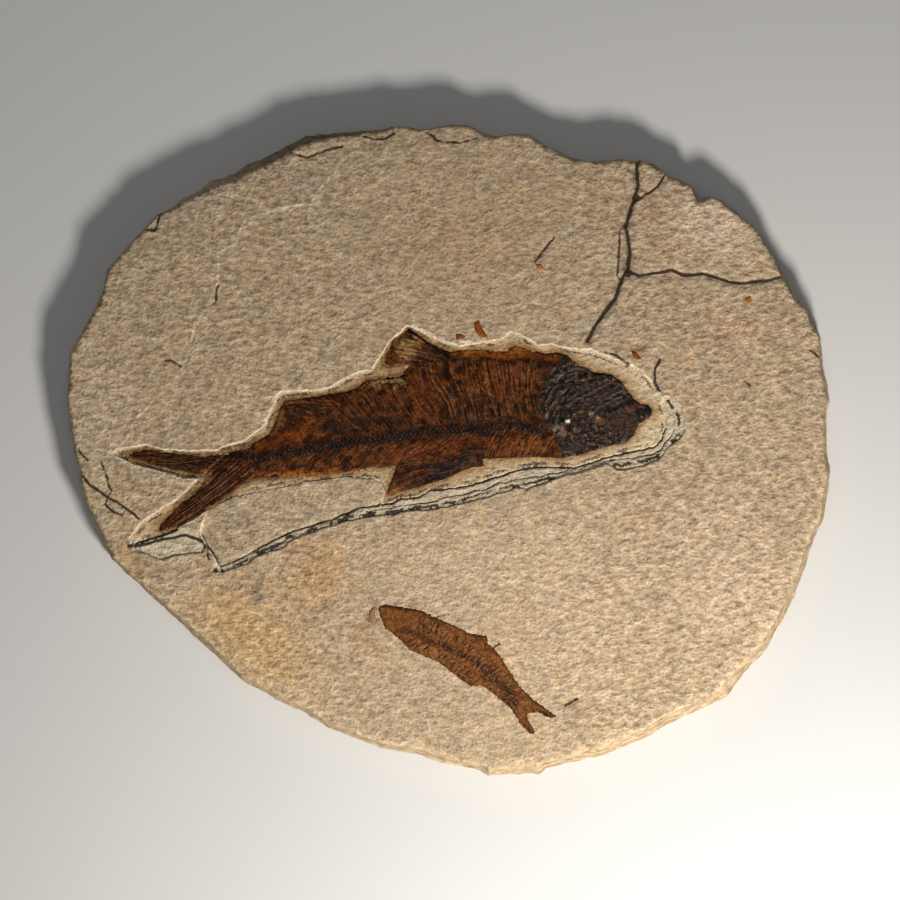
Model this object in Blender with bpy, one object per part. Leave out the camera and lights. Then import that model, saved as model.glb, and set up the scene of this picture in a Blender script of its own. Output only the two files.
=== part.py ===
"""Fossil fish slab.

An oval slab of laminated limestone lies flat, its chipped edge left as it was split. A large fossil fish is
fixed in a hollow worked out around it. South of the hollow the stone steps up in thin ledges, and west of
them lies a broad lower shelf. A small fossil fish and a few loose scales sit in shallow seats in the open
surface, and shallow cracks cross the north-east corner.

+X runs along the slab's length towards the large fish's head, +Y towards its fin side, +Z up. The origin
is at the middle of the slab's footprint, on the flat underside.
"""

import bpy
import numpy as np
from mathutils import Vector, noise
from mathutils.geometry import delaunay_2d_cdt

# Driving dimensions, in millimetres.
SLAB_LENGTH = 385.0
THICKNESS = 16.0
HOLLOW_DEPTH = 2.2
SHELF_DEPTH = 1.5
MID_LEDGE_DEPTH = 1.1
OUTER_LEDGE_DEPTH = 0.5
TAIL_FLAKE_DEPTH = 0.8
SEAT_DEPTH = 0.5  # of the shallow seats under the small fish and the scales
LAMINA_RISE = 0.3  # of the thin layer left standing in the north-west
STEP_RUN = 0.6  # how far a ledge's wall leans out over its height
CRACK_DEPTH = 0.7
CRACK_REACH = 0.8  # half a crack's width at the surface
GAP = 0.3  # between a fossil and the stone
FISH_EDGE = 0.45  # the large fish's thickness at its outline
FISH_CREST = 1.05  # what its body gains towards the middle
HEAD_RISE = 0.45
SMALL_EDGE = 0.35
SMALL_CREST = 0.25
SCALE_THICKNESS = 0.4
UNDULATION = 0.22
DIMPLES = 0.2
SMOOTHING = 0.5  # the share of that roughness that is gone at a ledge's rim
SMOOTHED_REACH = 5.0

# Outlines are plotted on a square drawing grid that the slab's length spans in 770 steps. The second number
# of a point runs down the drawing, towards -Y.
GRID_STEPS = 770
GRID_MIDDLE = (449, 450)
GRID = SLAB_LENGTH / GRID_STEPS

SLAB_OUTLINE = [
    (64, 400), (67, 352), (95, 302), (101, 288), (105, 268), (125, 245), (155, 213), (172, 204),
    (181, 196), (193, 191), (208, 180), (235, 170), (246, 162), (258, 158), (305, 133), (380, 127),
    (398, 123), (420, 127), (456, 121), (470, 123), (482, 130), (497, 134), (507, 131), (528, 131),
    (545, 142), (572, 155), (595, 159), (620, 156), (636, 158), (641, 156), (660, 165), (670, 173),
    (694, 184), (700, 197), (710, 193), (721, 196), (757, 225), (775, 251), (786, 275), (800, 298),
    (811, 308), (815, 322), (823, 334), (826, 365), (833, 400), (830, 412), (830, 455), (834, 472),
    (827, 518), (817, 540), (798, 597), (770, 650), (748, 673), (729, 699), (665, 729), (650, 739),
    (604, 758), (547, 771), (540, 777), (510, 777), (488, 779), (480, 773), (440, 765), (418, 757),
    (380, 751), (342, 736), (325, 729), (303, 715), (285, 707), (240, 682), (109, 560), (99, 536),
    (82, 503), (69, 440),
]  # fmt: skip
HOLLOW = [
    (110, 455), (116, 448), (146, 444), (160, 448), (190, 450), (216, 449), (230, 443), (243, 440),
    (255, 432), (264, 423), (276, 395), (281, 390), (322, 389), (334, 384), (346, 376), (358, 371),
    (370, 369), (390, 340), (408, 324), (434, 337), (460, 345), (500, 338), (511, 330), (524, 335),
    (538, 344), (552, 343), (568, 347), (590, 348), (625, 361), (642, 369), (655, 382), (663, 398),
    (668, 412), (668, 428), (663, 440), (655, 448), (605, 459), (575, 469), (540, 468), (520, 471),
    (465, 488), (430, 492), (418, 499), (400, 500), (392, 505), (380, 506), (384, 492), (380, 484),
    (374, 481), (345, 478), (312, 482), (238, 497), (225, 502), (205, 513), (175, 532), (160, 538),
    (131, 546), (128, 538), (141, 520), (175, 499), (195, 480), (183, 480), (170, 475), (135, 466),
]  # fmt: skip
SHELF = [
    (380, 506), (365, 508), (318, 526), (290, 534), (262, 548), (250, 556), (220, 569), (206, 546),
    (200, 534), (205, 505), (240, 488), (300, 478), (350, 472), (388, 474), (392, 492),
]  # fmt: skip
MID_LEDGE = [
    (676, 418), (677, 430), (664, 449), (655, 456), (618, 461), (572, 473), (550, 475), (500, 485),
    (455, 499), (378, 512), (365, 513), (360, 500), (420, 480), (600, 440),
]  # fmt: skip
OUTER_LEDGE = [
    (664, 394), (676, 399), (683, 408), (687, 432), (681, 440), (674, 445), (660, 461), (645, 467),
    (622, 472), (605, 466), (587, 473), (560, 479), (545, 486), (527, 492), (515, 490), (497, 497),
    (480, 500), (465, 505), (435, 511), (360, 520), (330, 528), (292, 542), (286, 549), (258, 558),
    (248, 565), (222, 575), (208, 574), (212, 566), (219, 560), (300, 510), (450, 480), (600, 430),
]  # fmt: skip
TAIL_FLAKE = [
    (131, 547), (133, 538), (175, 526), (190, 528), (200, 534), (206, 546), (202, 554), (190, 554),
    (160, 561), (143, 554), (135, 551),
]  # fmt: skip
LAMINA_EDGE = [
    (344, 158), (325, 180), (313, 203), (285, 207), (258, 214), (243, 222), (235, 240), (218, 252),
    (217, 288), (205, 308), (193, 335), (188, 358), (165, 388), (133, 425), (128, 440), (92, 446),
]  # fmt: skip
LAMINA_OUTSIDE = [(40, 446), (40, 130), (344, 100)]
NORTH_CRACK = [
    (637, 164), (638, 185), (626, 226), (630, 255), (620, 284), (615, 299), (593, 330), (588, 340),
]  # fmt: skip
EAST_CRACK = [
    (624, 277), (632, 272), (638, 276), (672, 270), (683, 275), (703, 274), (713, 276), (730, 282),
    (745, 283), (770, 280), (780, 277),
]  # fmt: skip
TWIN_CRACK = [(626, 226), (620, 234), (619, 260), (616, 290)]
SHORT_CRACK = [(637, 201), (648, 193), (662, 182)]
WEST_CRACK = [(84, 476), (100, 495), (118, 505), (139, 518)]

FISH_OUTLINE = [
    (653, 411), (648, 405), (641, 404), (634, 399), (621, 381), (612, 375), (594, 372), (573, 361),
    (567, 355), (556, 352), (546, 354), (515, 345), (506, 350), (470, 349), (450, 352), (431, 344),
    (409, 328), (400, 334), (392, 342), (383, 364), (390, 367), (402, 364), (410, 366), (398, 376),
    (388, 376), (380, 379), (366, 380), (358, 387), (345, 392), (286, 401), (281, 406), (274, 427),
    (268, 435), (244, 449), (228, 453), (205, 455), (180, 454), (160, 451), (143, 450), (133, 452),
    (127, 456), (160, 467), (195, 474), (207, 475), (205, 481), (200, 487), (192, 493), (161, 524),
    (159, 531), (170, 529), (180, 524), (192, 516), (218, 502), (250, 479), (330, 474), (375, 467),
    (397, 466), (387, 494), (415, 488), (448, 478), (462, 471), (475, 467), (484, 466), (482, 459),
    (530, 457), (562, 458), (585, 454), (605, 447), (625, 443), (634, 436), (639, 424), (651, 416),
]  # fmt: skip
FISH_SPINE = [
    (552, 431), (512, 426), (497, 427), (482, 431), (425, 432), (350, 442), (335, 446), (252, 461),
    (226, 468),
]  # fmt: skip
GILL_ARC = [(566, 360), (550, 370), (541, 384), (538, 400), (541, 416), (548, 430), (557, 442), (561, 454)]
HEAD_MIDDLE = (597, 405)
HEAD_REACH = (29.0, 22.0)  # half the head's dome, along X and along Y
EYE = (567, 418)
EYE_REACH = 3.0
EYE_DEPTH = 0.25

# Each fan is its first and last bone as (root, tip), then how many bones it has and how far their middles bow.
RIB_FAN = (((372, 436), (352, 394)), ((538, 422), (534, 360)), 20, 2.5)
LOWER_RIB_FAN = (((268, 463), (256, 476)), ((520, 430), (500, 453)), 22, 0.6)
UPPER_TAIL_FAN = (((232, 456), (134, 455)), ((222, 468), (196, 471)), 5, 1.0)
LOWER_TAIL_FAN = (((214, 476), (193, 496)), ((236, 474), (168, 526)), 5, -1.0)
UPPER_FIN_FAN = (((450, 356), (411, 332)), ((408, 362), (391, 360)), 5, 0.4)
LOWER_FIN_FAN = (((476, 457), (404, 489)), ((420, 462), (396, 482)), 5, -0.6)
FISH_FANS = (RIB_FAN, LOWER_RIB_FAN, UPPER_TAIL_FAN, LOWER_TAIL_FAN, UPPER_FIN_FAN, LOWER_FIN_FAN)

SMALL_OUTLINE = [
    (379, 606), (385, 605), (395, 606), (422, 611), (440, 620), (460, 628), (468, 633), (486, 636),
    (488, 643), (500, 656), (520, 687), (535, 701), (556, 716), (551, 719), (538, 712), (527, 714),
    (528, 720), (535, 731), (533, 735), (529, 733), (519, 722), (512, 710), (494, 694), (482, 686),
    (470, 686), (460, 679), (438, 662), (410, 650), (398, 638), (385, 628), (379, 613),
]  # fmt: skip
SMALL_SPINE = [(416, 634), (445, 647), (470, 658), (490, 671), (505, 689), (520, 704)]
SMALL_GILL = [(420, 612), (427, 620), (429, 630), (424, 641), (415, 648)]
SMALL_FANS = (
    (((432, 638), (436, 622)), ((494, 672), (496, 656)), 7, 0.4),
    (((434, 646), (424, 652)), ((496, 682), (490, 690)), 7, 0.3),
)

SCALES = {
    "scale_by_fin": [(474, 323), (479, 320), (482, 328), (488, 337), (480, 337), (475, 331)],
    "scale_near_fin": [(456, 334), (461, 334), (466, 337), (459, 341), (456, 340)],
    "scale_north": [(535, 264), (541, 264), (545, 269), (538, 269)],
    "scale_east": [(746, 297), (751, 296), (752, 302), (748, 304), (745, 300)],
    "scale_by_head": [(631, 350), (636, 352), (642, 359), (637, 360), (633, 357)],
    "scale_at_snout": [(372, 608), (376, 606), (375, 613), (376, 621), (373, 623), (369, 619), (369, 612)],
}

# How far the top face's edge lies inside the slab's outline, by bearing from +X in degrees.
EDGE_INSETS = (
    (0, 3.0), (45, 1.8), (95, 1.3), (107, 2.0), (116, 5.0), (126, 4.5), (140, 3.0), (165, 5.0), (180, 6.0),
    (205, 6.0), (225, 3.0), (270, 4.0), (300, 5.5), (320, 5.5), (345, 3.5), (360, 3.0),
)  # fmt: skip
# The side wall's rings below the top face: height, share of the edge inset, and extra inset.
WALL_RINGS = (
    (13.8, 0.72, 0.0), (11.6, 0.42, 0.5), (9.2, 0.34, 0.0), (7.2, 0.1, 0.6), (5.0, 0.0, 0.0), (1.6, 0.0, 0.7),
    (0.0, 0.0, 2.0),
)  # fmt: skip
WALL_ROUGHNESS = 0.5

STONE_SPACING = 7.8
FISH_SPACING = 5.0
SMALL_SPACING = 4.5
LONGEST_MITRE = 3.0
CLEARANCE = 0.7  # the least distance from a surface line to the edge of its face
SEED = 11


def plot(points):
    """Grid points as an array of positions in millimetres."""
    steps = np.array(points, float) - GRID_MIDDLE
    return steps * (GRID, -GRID)


def anticlockwise(ring):
    x, y = ring.T
    area = np.dot(x, np.roll(y, -1)) - np.dot(y, np.roll(x, -1))
    return ring if area > 0 else ring[::-1]


def divide(line, step, closed=False):
    """The line with points added so that no two are further apart than the step."""
    ends = np.roll(line, -1, axis=0) if closed else line[1:]
    found = []
    for start, end in zip(line, ends):
        count = max(1, round(float(np.linalg.norm(end - start)) / step))
        found.extend(start + (end - start) * share / count for share in range(count))
    if not closed:
        found.append(line[-1])
    return np.array(found)


def distance(points, line, closed=False):
    """The distance from each point to the line."""
    ends = np.roll(line, -1, axis=0) if closed else line[1:]
    nearest = np.full(len(points), np.inf)
    for start, end in zip(line, ends):
        along = end - start
        share = np.clip((points - start) @ along / (along @ along), 0, 1)
        nearest = np.minimum(nearest, np.linalg.norm(points - start - share[:, None] * along, axis=1))
    return nearest


def inside(points, ring):
    x, y = points.T
    found = np.zeros(len(points), bool)
    for (x0, y0), (x1, y1) in zip(ring, np.roll(ring, -1, axis=0)):
        if y0 != y1:
            found ^= ((y0 > y) != (y1 > y)) & (x < (x1 - x0) * (y - y0) / (y1 - y0) + x0)
    return found


def ramp(points, ring, run):
    """0 outside the ring and on it, rising to 1 at the run inside it."""
    return np.where(inside(points, ring), np.minimum(distance(points, ring, True) / run, 1), 0)


def ridge(points, line, reach):
    """1 on the line, falling to 0 at the reach."""
    return np.maximum(0, 1 - distance(points, line) / reach)


def sideways(line, closed=False):
    """How far to move each point so that the line shifts one unit to its left."""
    ends = np.roll(line, -1, axis=0) if closed else line[1:]
    along = ends - line[: len(ends)]
    along /= np.linalg.norm(along, axis=1, keepdims=True)
    left = np.stack([-along[:, 1], along[:, 0]], axis=1)
    before = np.roll(left, 1, axis=0) if closed else np.concatenate([left[:1], left])
    after = left if closed else np.concatenate([left, left[-1:]])
    mitre = (before + after) / (1 + (before * after).sum(axis=1, keepdims=True)).clip(0.1)
    length = np.linalg.norm(mitre, axis=1, keepdims=True)
    return mitre * np.minimum(1, LONGEST_MITRE / length)


def waves(points, length, height):
    """Smooth noise over the points."""
    return height * np.array([noise.noise(Vector((x / length, y / length, length))) for x, y in points])


def fan(shape):
    """The bones of a fan, with the valleys between them, as two lists of lines."""
    (first_root, first_tip), (last_root, last_tip), count, bow = shape
    lines = []
    for share in np.linspace(0, 1, 2 * count - 1):
        root = plot(first_root) * (1 - share) + plot(last_root) * share
        tip = plot(first_tip) * (1 - share) + plot(last_tip) * share
        along = tip - root
        middle = (root + tip) / 2 + bow * np.array([-along[1], along[0]]) / np.linalg.norm(along)
        lines.append(np.array([root, middle, tip]))
    return lines[::2], lines[1::2]


def clipped(line, ring, margin):
    """The stretches of the line that lie inside the ring, the margin away from it."""
    kept = inside(line, ring) & (distance(line, ring, True) > margin)
    stretches, current = [], []
    for point, keep in zip(line, kept):
        if keep:
            current.append(point)
        elif current:
            stretches.append(current)
            current = []
    stretches.append(current)
    return [np.array(stretch) for stretch in stretches if len(stretch) > 1]


def scattered(ring, lines, spacing, seed):
    """Loosely spaced points inside the ring, clear of it and of the lines."""
    rng = np.random.default_rng(seed)
    low, high = ring.min(axis=0), ring.max(axis=0)
    columns = np.arange(low[0], high[0], spacing)
    rows = np.arange(low[1], high[1], spacing * 0.87)
    grid = np.array([(x + (n % 2) * spacing / 2, y) for n, y in enumerate(rows) for x in columns])
    grid += rng.uniform(-0.22, 0.22, grid.shape) * spacing
    kept = inside(grid, ring) & (distance(grid, ring, True) > spacing * 0.5)
    for line in lines:
        kept &= distance(grid, line) > spacing * 0.4
    return grid[kept]


def triangulated(ring, lines, spacing, seed):
    """Triangles filling the ring, with the lines among their edges. The ring's points come first."""
    lines = [part for line in lines for part in clipped(line, ring, CLEARANCE)]
    points = [ring, *lines, scattered(ring, lines, spacing, seed)]
    edges, start = [], len(ring)
    for line in lines:
        edges += [(start + n, start + n + 1) for n in range(len(line) - 1)]
        start += len(line)
    flat = [Vector(point) for point in np.concatenate(points)]
    border = list(range(len(ring)))
    vertices, _, triangles, sources, _, _ = delaunay_2d_cdt(flat, edges, [border], 1, 1e-3)
    place = {source: n for n, found in enumerate(sources) for source in found}
    order = [place[n] for n in border]
    order += sorted(set(range(len(vertices))) - set(order))
    number = {old: new for new, old in enumerate(order)}
    points = np.array([vertices[old] for old in order])
    return points, [[number[corner] for corner in triangle] for triangle in triangles]


def solid(name, top, triangles, rings, material):
    """A closed body from its top face, whose first points are its edge, and the rings of its side wall."""
    count = len(rings[0])
    points, faces = [*top], [tuple(triangle) for triangle in triangles]
    above = list(range(count))
    for ring in rings:
        below = list(range(len(points), len(points) + count))
        points += [*ring]
        for n in range(count):
            m = (n + 1) % count
            faces += [(above[n], below[n], below[m]), (above[n], below[m], above[m])]
        above = below
    base = [Vector(point[:2]) for point in rings[-1]]
    found = delaunay_2d_cdt(base, [], [list(range(count))], 1, 1e-3)
    place = [sources[0] for sources in found[3]]
    faces += [tuple(above[place[corner]] for corner in triangle[::-1]) for triangle in found[2]]
    mesh = bpy.data.meshes.new(name)
    mesh.from_pydata([tuple(float(v) / 1000 for v in point) for point in points], [], faces)
    mesh.materials.append(material)
    obj = bpy.data.objects.new(name, mesh)
    bpy.context.scene.collection.objects.link(obj)
    return obj


def plate(name, outline, lines, height, underside, spacing, material):
    """A thin fossil with a flat underside, and the height function's surface on top."""
    ring = anticlockwise(outline)
    flat, triangles = triangulated(ring, lines, spacing, SEED)
    top = np.column_stack([flat, height(flat)])
    base = np.column_stack([ring, np.full(len(ring), underside)])
    return solid(name, top, triangles, [base], material)


def stone_material(name, color, roughness):
    material = bpy.data.materials.new(name)
    material.use_nodes = True
    surface = material.node_tree.nodes["Principled BSDF"]
    surface.inputs["Base Color"].default_value = (*color, 1)
    surface.inputs["Roughness"].default_value = roughness
    surface.inputs["Metallic"].default_value = 0
    material.diffuse_color = (*color, 1)
    return material


def seat_rings():
    """The outlines of the shallow seats under the small fish and the scales."""
    rings = [anticlockwise(plot(outline)) for outline in (SMALL_OUTLINE, *SCALES.values())]
    return [ring - GAP * 1.3 * sideways(ring, True) for ring in rings]


def lamina_ring():
    return plot(LAMINA_EDGE + LAMINA_OUTSIDE)


def cracks():
    names = (NORTH_CRACK, EAST_CRACK, TWIN_CRACK, SHORT_CRACK, WEST_CRACK)
    return [divide(plot(line), 6) for line in names]


def ledges():
    """Each lowered area's outline and depth."""
    return [
        (anticlockwise(plot(outline)), depth)
        for outline, depth in (
            (HOLLOW, HOLLOW_DEPTH),
            (SHELF, SHELF_DEPTH),
            (MID_LEDGE, MID_LEDGE_DEPTH),
            (OUTER_LEDGE, OUTER_LEDGE_DEPTH),
            (TAIL_FLAKE, TAIL_FLAKE_DEPTH),
        )
    ]


def stone_height(points):
    """The height of the slab's upper face, rough on top and flat on the ledges and in the seats."""
    rough = waves(points, 34, UNDULATION) + waves(points, 9, DIMPLES)
    rough += LAMINA_RISE * ramp(points, lamina_ring(), STEP_RUN)
    drop = np.zeros(len(points))
    flat = np.zeros(len(points))
    lowered = [(ring, depth, STEP_RUN) for ring, depth in ledges()]
    lowered += [(ring, SEAT_DEPTH, GAP) for ring in seat_rings()]
    for ring, depth, run in lowered:
        share = ramp(points, ring, run)
        drop = np.maximum(drop, depth * share)
        flat = np.maximum(flat, share)
        rough *= 1 - SMOOTHING * np.exp(-distance(points, ring, True) / SMOOTHED_REACH)
    for line in cracks():
        drop = np.maximum(drop, CRACK_DEPTH * ridge(points, line, CRACK_REACH) * (1 - flat))
    return THICKNESS + rough * (1 - flat) - drop


def stone_lines():
    """The lines that the upper face's triangles follow: each step's rim and foot, and each crack."""
    steps = [(ring, STEP_RUN) for ring, _ in ledges()] + [(ring, GAP) for ring in seat_rings()]
    lines = []
    for ring, run in steps:
        rim = divide(ring, STONE_SPACING, True)
        foot = rim + run * sideways(rim, True)
        lines += [np.append(line, line[:1], axis=0) for line in (rim, foot)]
    edge = divide(plot(LAMINA_EDGE), STONE_SPACING)
    lines += [edge, edge - STEP_RUN * sideways(edge)]
    for line in cracks():
        side = CRACK_REACH * sideways(line)
        lines += [line, line + side, line - side]
    return lines


def edge_insets(ring):
    bearings = np.degrees(np.arctan2(ring[:, 1], ring[:, 0])) % 360
    return np.interp(bearings, *zip(*EDGE_INSETS))


def stone_slab(material):
    outline = anticlockwise(divide(plot(SLAB_OUTLINE), 9.5, True))
    inward = sideways(outline, True)
    inset = edge_insets(outline)[:, None]
    rim = outline + inset * inward
    flat, triangles = triangulated(rim, stone_lines(), STONE_SPACING, SEED)
    top = np.column_stack([flat, stone_height(flat)])
    top[: len(rim), 2] -= 0.3
    rng = np.random.default_rng(SEED)
    rings = []
    for height, share, extra in WALL_RINGS:
        chipped = rng.uniform(0, WALL_ROUGHNESS, (len(rim), 1)) * (share > 0)
        ring = outline + (inset * share + extra + chipped) * inward
        rings.append(np.column_stack([ring, np.full(len(ring), height)]))
    return solid("stone_slab", top, triangles, rings, material)


def large_fish(material):
    outline = plot(FISH_OUTLINE)
    spine, gill = plot(FISH_SPINE), plot(GILL_ARC)
    fans = [fan(shape) for shape in FISH_FANS]
    underside = THICKNESS - HOLLOW_DEPTH + GAP

    def height(points):
        thick = FISH_EDGE + FISH_CREST * (1 - np.exp(-distance(points, outline, True) / 5))
        reach = (points - plot(HEAD_MIDDLE)) / HEAD_REACH
        thick += HEAD_RISE * np.maximum(0, 1 - (reach**2).sum(axis=1))
        thick += 0.3 * ridge(points, spine, 1.6) + 0.25 * ridge(points, gill, 1.6)
        bones = np.zeros(len(points))
        for lines, _ in fans:
            for line in lines:
                bones = np.maximum(bones, ridge(points, line, 1.0))
        thick += 0.2 * bones * (distance(points, outline, True) > 0.3)
        eye = np.linalg.norm(points - plot(EYE), axis=1)
        return underside + thick - EYE_DEPTH * np.maximum(0, 1 - eye / EYE_REACH)

    lines = [spine, gill]
    for line in (spine, gill):
        side = 1.6 * sideways(line)
        lines += [line + side, line - side]
    for bones, valleys in fans:
        lines += bones + valleys
    ring = anticlockwise(outline)
    inner = divide(ring, 6, True)
    inner += 1.8 * sideways(inner, True)
    lines.append(inner)
    return plate("large_fish", outline, lines, height, underside, FISH_SPACING, material)


def small_fish(material):
    outline = plot(SMALL_OUTLINE)
    spine, gill = plot(SMALL_SPINE), plot(SMALL_GILL)
    fans = [fan(shape) for shape in SMALL_FANS]
    underside = THICKNESS - SEAT_DEPTH + GAP

    def height(points):
        thick = SMALL_EDGE + SMALL_CREST * (1 - np.exp(-distance(points, outline, True) / 3))
        thick += 0.15 * ridge(points, spine, 1.2) + 0.12 * ridge(points, gill, 1.2)
        for lines, _ in fans:
            for line in lines:
                thick += 0.08 * ridge(points, line, 0.9)
        return underside + thick

    lines = [spine, gill]
    for bones, valleys in fans:
        lines += bones + valleys
    return plate("small_fish", outline, lines, height, underside, SMALL_SPACING, material)


def loose_scales(material):
    underside = THICKNESS - SEAT_DEPTH + GAP
    for name, outline in SCALES.items():

        def height(points):
            return np.full(len(points), underside + SCALE_THICKNESS)

        plate(name, plot(outline), [], height, underside, SMALL_SPACING, material)


def main():
    for obj in list(bpy.data.objects):
        bpy.data.objects.remove(obj)
    limestone = stone_material("limestone", (0.45, 0.33, 0.22), 0.9)
    bone = stone_material("fossil_bone", (0.055, 0.024, 0.012), 0.35)
    pale_bone = stone_material("small_fossil_bone", (0.17, 0.065, 0.025), 0.5)
    stone_slab(limestone)
    large_fish(bone)
    small_fish(pale_bone)
    loose_scales(pale_bone)


main()
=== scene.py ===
"""Looks of the fossil fish slab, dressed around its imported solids.

The work is in millimetres, in the slab's frame: +X towards the large fish's head, +Y towards its fin side,
+Z up, with the origin on the underside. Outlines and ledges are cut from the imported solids. Marks that have
no solid of their own, such as cracks, veins, stains and bones, are plotted on a drawing grid: the slab is 770
steps long, and a step's second number runs down the drawing, towards -Y. Meshes are written in metres.
"""

import math

import bpy
import numpy as np
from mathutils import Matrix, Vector
from mathutils.geometry import delaunay_2d_cdt
from mathutils.kdtree import KDTree


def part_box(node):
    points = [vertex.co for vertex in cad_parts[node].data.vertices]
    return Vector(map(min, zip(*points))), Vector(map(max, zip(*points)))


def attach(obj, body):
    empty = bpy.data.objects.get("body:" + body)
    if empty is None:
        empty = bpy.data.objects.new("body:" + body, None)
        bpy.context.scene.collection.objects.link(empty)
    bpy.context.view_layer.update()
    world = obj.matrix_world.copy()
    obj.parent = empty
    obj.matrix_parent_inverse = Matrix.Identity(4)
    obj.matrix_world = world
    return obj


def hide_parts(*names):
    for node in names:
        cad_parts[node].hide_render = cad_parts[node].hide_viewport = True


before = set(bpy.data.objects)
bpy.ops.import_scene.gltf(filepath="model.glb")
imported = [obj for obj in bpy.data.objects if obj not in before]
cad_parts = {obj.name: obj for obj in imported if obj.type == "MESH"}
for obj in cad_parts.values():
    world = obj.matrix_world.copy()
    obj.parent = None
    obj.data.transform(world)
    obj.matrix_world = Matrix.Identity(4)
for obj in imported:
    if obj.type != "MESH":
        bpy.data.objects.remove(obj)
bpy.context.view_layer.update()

GRID_STEPS = 770
GRID_MIDDLE = (449, 450)
low, high = (np.array(corner) * 1000 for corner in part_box("stone_slab"))
GRID = (high - low)[0] / GRID_STEPS

OPEN_SPACING = 1.8  # between the points of the stone's open surface
WORKED_SPACING = 0.6  # on the broken layers round the fish
LINE_REACH = 0.8  # how far beside a dark or pale line it fades out
ROW_STEP = 0.46  # along ledges, cracks and marks
HIDDEN_SPACING = 6.0  # under the fish, and on the underside
WALL_POINTS = 840  # round the slab
FISH_SPACING = 0.37
SMALL_SPACING = 0.33
SCALE_SPACING = 0.4
OPEN = 16.0  # the open surface, before its relief
RIM_HEIGHT = 15.72  # where the wall meets the upper face
RIM_DROP = 0.3
STEEP_RUN = 0.35  # the width of a ledge's broken side, seen from above
LEDGES_ABOVE = 13.0  # the floors of the hollow and the ledges all lie higher
FLOOR_POINTS = 40  # and at least so many of the slab's points share each floor
WIDEST = 5.01  # the height of the silhouette
FISH_CUT = 14.33  # where the large fish stands clear of its bed
SMALL_CUT = 15.97  # where the small fish and the scales do
WALL_HEIGHTS = (15.2, 14.4, 13.4, 12.3, 11.2, 10.0, 8.8, 7.6, 6.4, 5.2, 3.9, 2.6, 1.4, 0.5, 0.0)
CAD_WALL_HEIGHTS = (0.02, 1.62, WIDEST, 7.21, 9.21, 11.61, 13.79, 15.42)

# Colours as they look under white light, 0 to 255.
CREAM = (222, 198, 160)
STONE = (196, 171, 139)
GREY_STONE = (186, 166, 138)
PALE_FLAKE = (206, 186, 158)
ORANGE_STONE = (190, 146, 98)
GOLD_STONE = (200, 160, 98)
UMBER = (96, 68, 42)
NORTH_WALL_SHADE = (58, 44, 32)
FRESH_STONE = (226, 204, 168)

RUST = (108, 56, 20)
DARK_RUST = (62, 32, 15)
ORANGE = (150, 80, 24)
GOLD = (182, 122, 52)
BLACK = (17, 13, 12)
BLUE_BLACK = (30, 27, 29)
CHARCOAL = (40, 32, 27)
MEMBRANE = (164, 126, 78)
CHESTNUT = (130, 78, 38)
PALE_CHESTNUT = (162, 108, 60)
DARK_CHESTNUT = (62, 38, 26)

# Lines on the stone, plotted on the drawing grid.
NORTH_CRACK = [
    (638, 160), (637, 172), (638, 185), (635, 196), (632, 206), (626, 226), (630, 250), (628, 268),
    (620, 284), (615, 299), (604, 313), (593, 330), (587, 342),
]  # fmt: skip
TWIN_CRACK = [(625, 224), (620, 231), (619, 255), (617, 276)]
EAST_CRACK = [
    (628, 277), (632, 272), (638, 276), (655, 273), (672, 270), (683, 275), (703, 274), (713, 276),
    (730, 282), (745, 283), (770, 280), (782, 277),
]  # fmt: skip
SHORT_CRACK = [(634, 203), (645, 195), (652, 191), (658, 186), (664, 176)]
WEST_CRACK = [(78, 470), (89, 484), (100, 492), (109, 498), (121, 505), (132, 513), (138, 518)]
WEST_TWIN_CRACK = [(105, 504), (110, 509), (117, 514), (122, 515)]
SPUR_CRACK = [(660, 360), (655, 369), (655, 382), (659, 390)]
FLAKE_TOP = [(128, 546), (140, 546), (150, 543), (160, 540), (172, 538), (186, 535), (199, 540)]
CRACKS = [  # line, half width, depth and how dark
    (NORTH_CRACK, 0.24, 1.2, 1.0),
    (TWIN_CRACK, 0.0, 0.35, 0.55),
    (EAST_CRACK, 0.08, 0.8, 1.0),
    (SHORT_CRACK, 0.0, 0.4, 0.8),
    (WEST_CRACK, 0.03, 0.5, 0.9),
    (WEST_TWIN_CRACK, 0.0, 0.3, 0.7),
    (SPUR_CRACK, 0.0, 0.4, 0.8),
    (FLAKE_TOP, 0.22, 0.3, 0.95),
]
LAMINA_EDGE = [
    (344, 158), (329, 179), (322, 186), (311, 204), (289, 206), (270, 212), (247, 217), (241, 227),
    (236, 244), (218, 253), (218, 286), (206, 305), (194, 329), (189, 351), (180, 372), (161, 393),
    (146, 409), (132, 424), (127, 440), (108, 452),
]  # fmt: skip
LAMINA_OUTSIDE = [(40, 452), (40, 130), (344, 100)]
PALE_VEINS = [
    LAMINA_EDGE,
    [(199, 343), (194, 350), (188, 358)],
    [(215, 480), (232, 470)],
    [(200, 573), (190, 580), (180, 587), (172, 597), (167, 607)],
    [(413, 325), (430, 334), (447, 342), (470, 341)],
    [(276, 392), (271, 407), (266, 418), (262, 424)],
]
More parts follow.
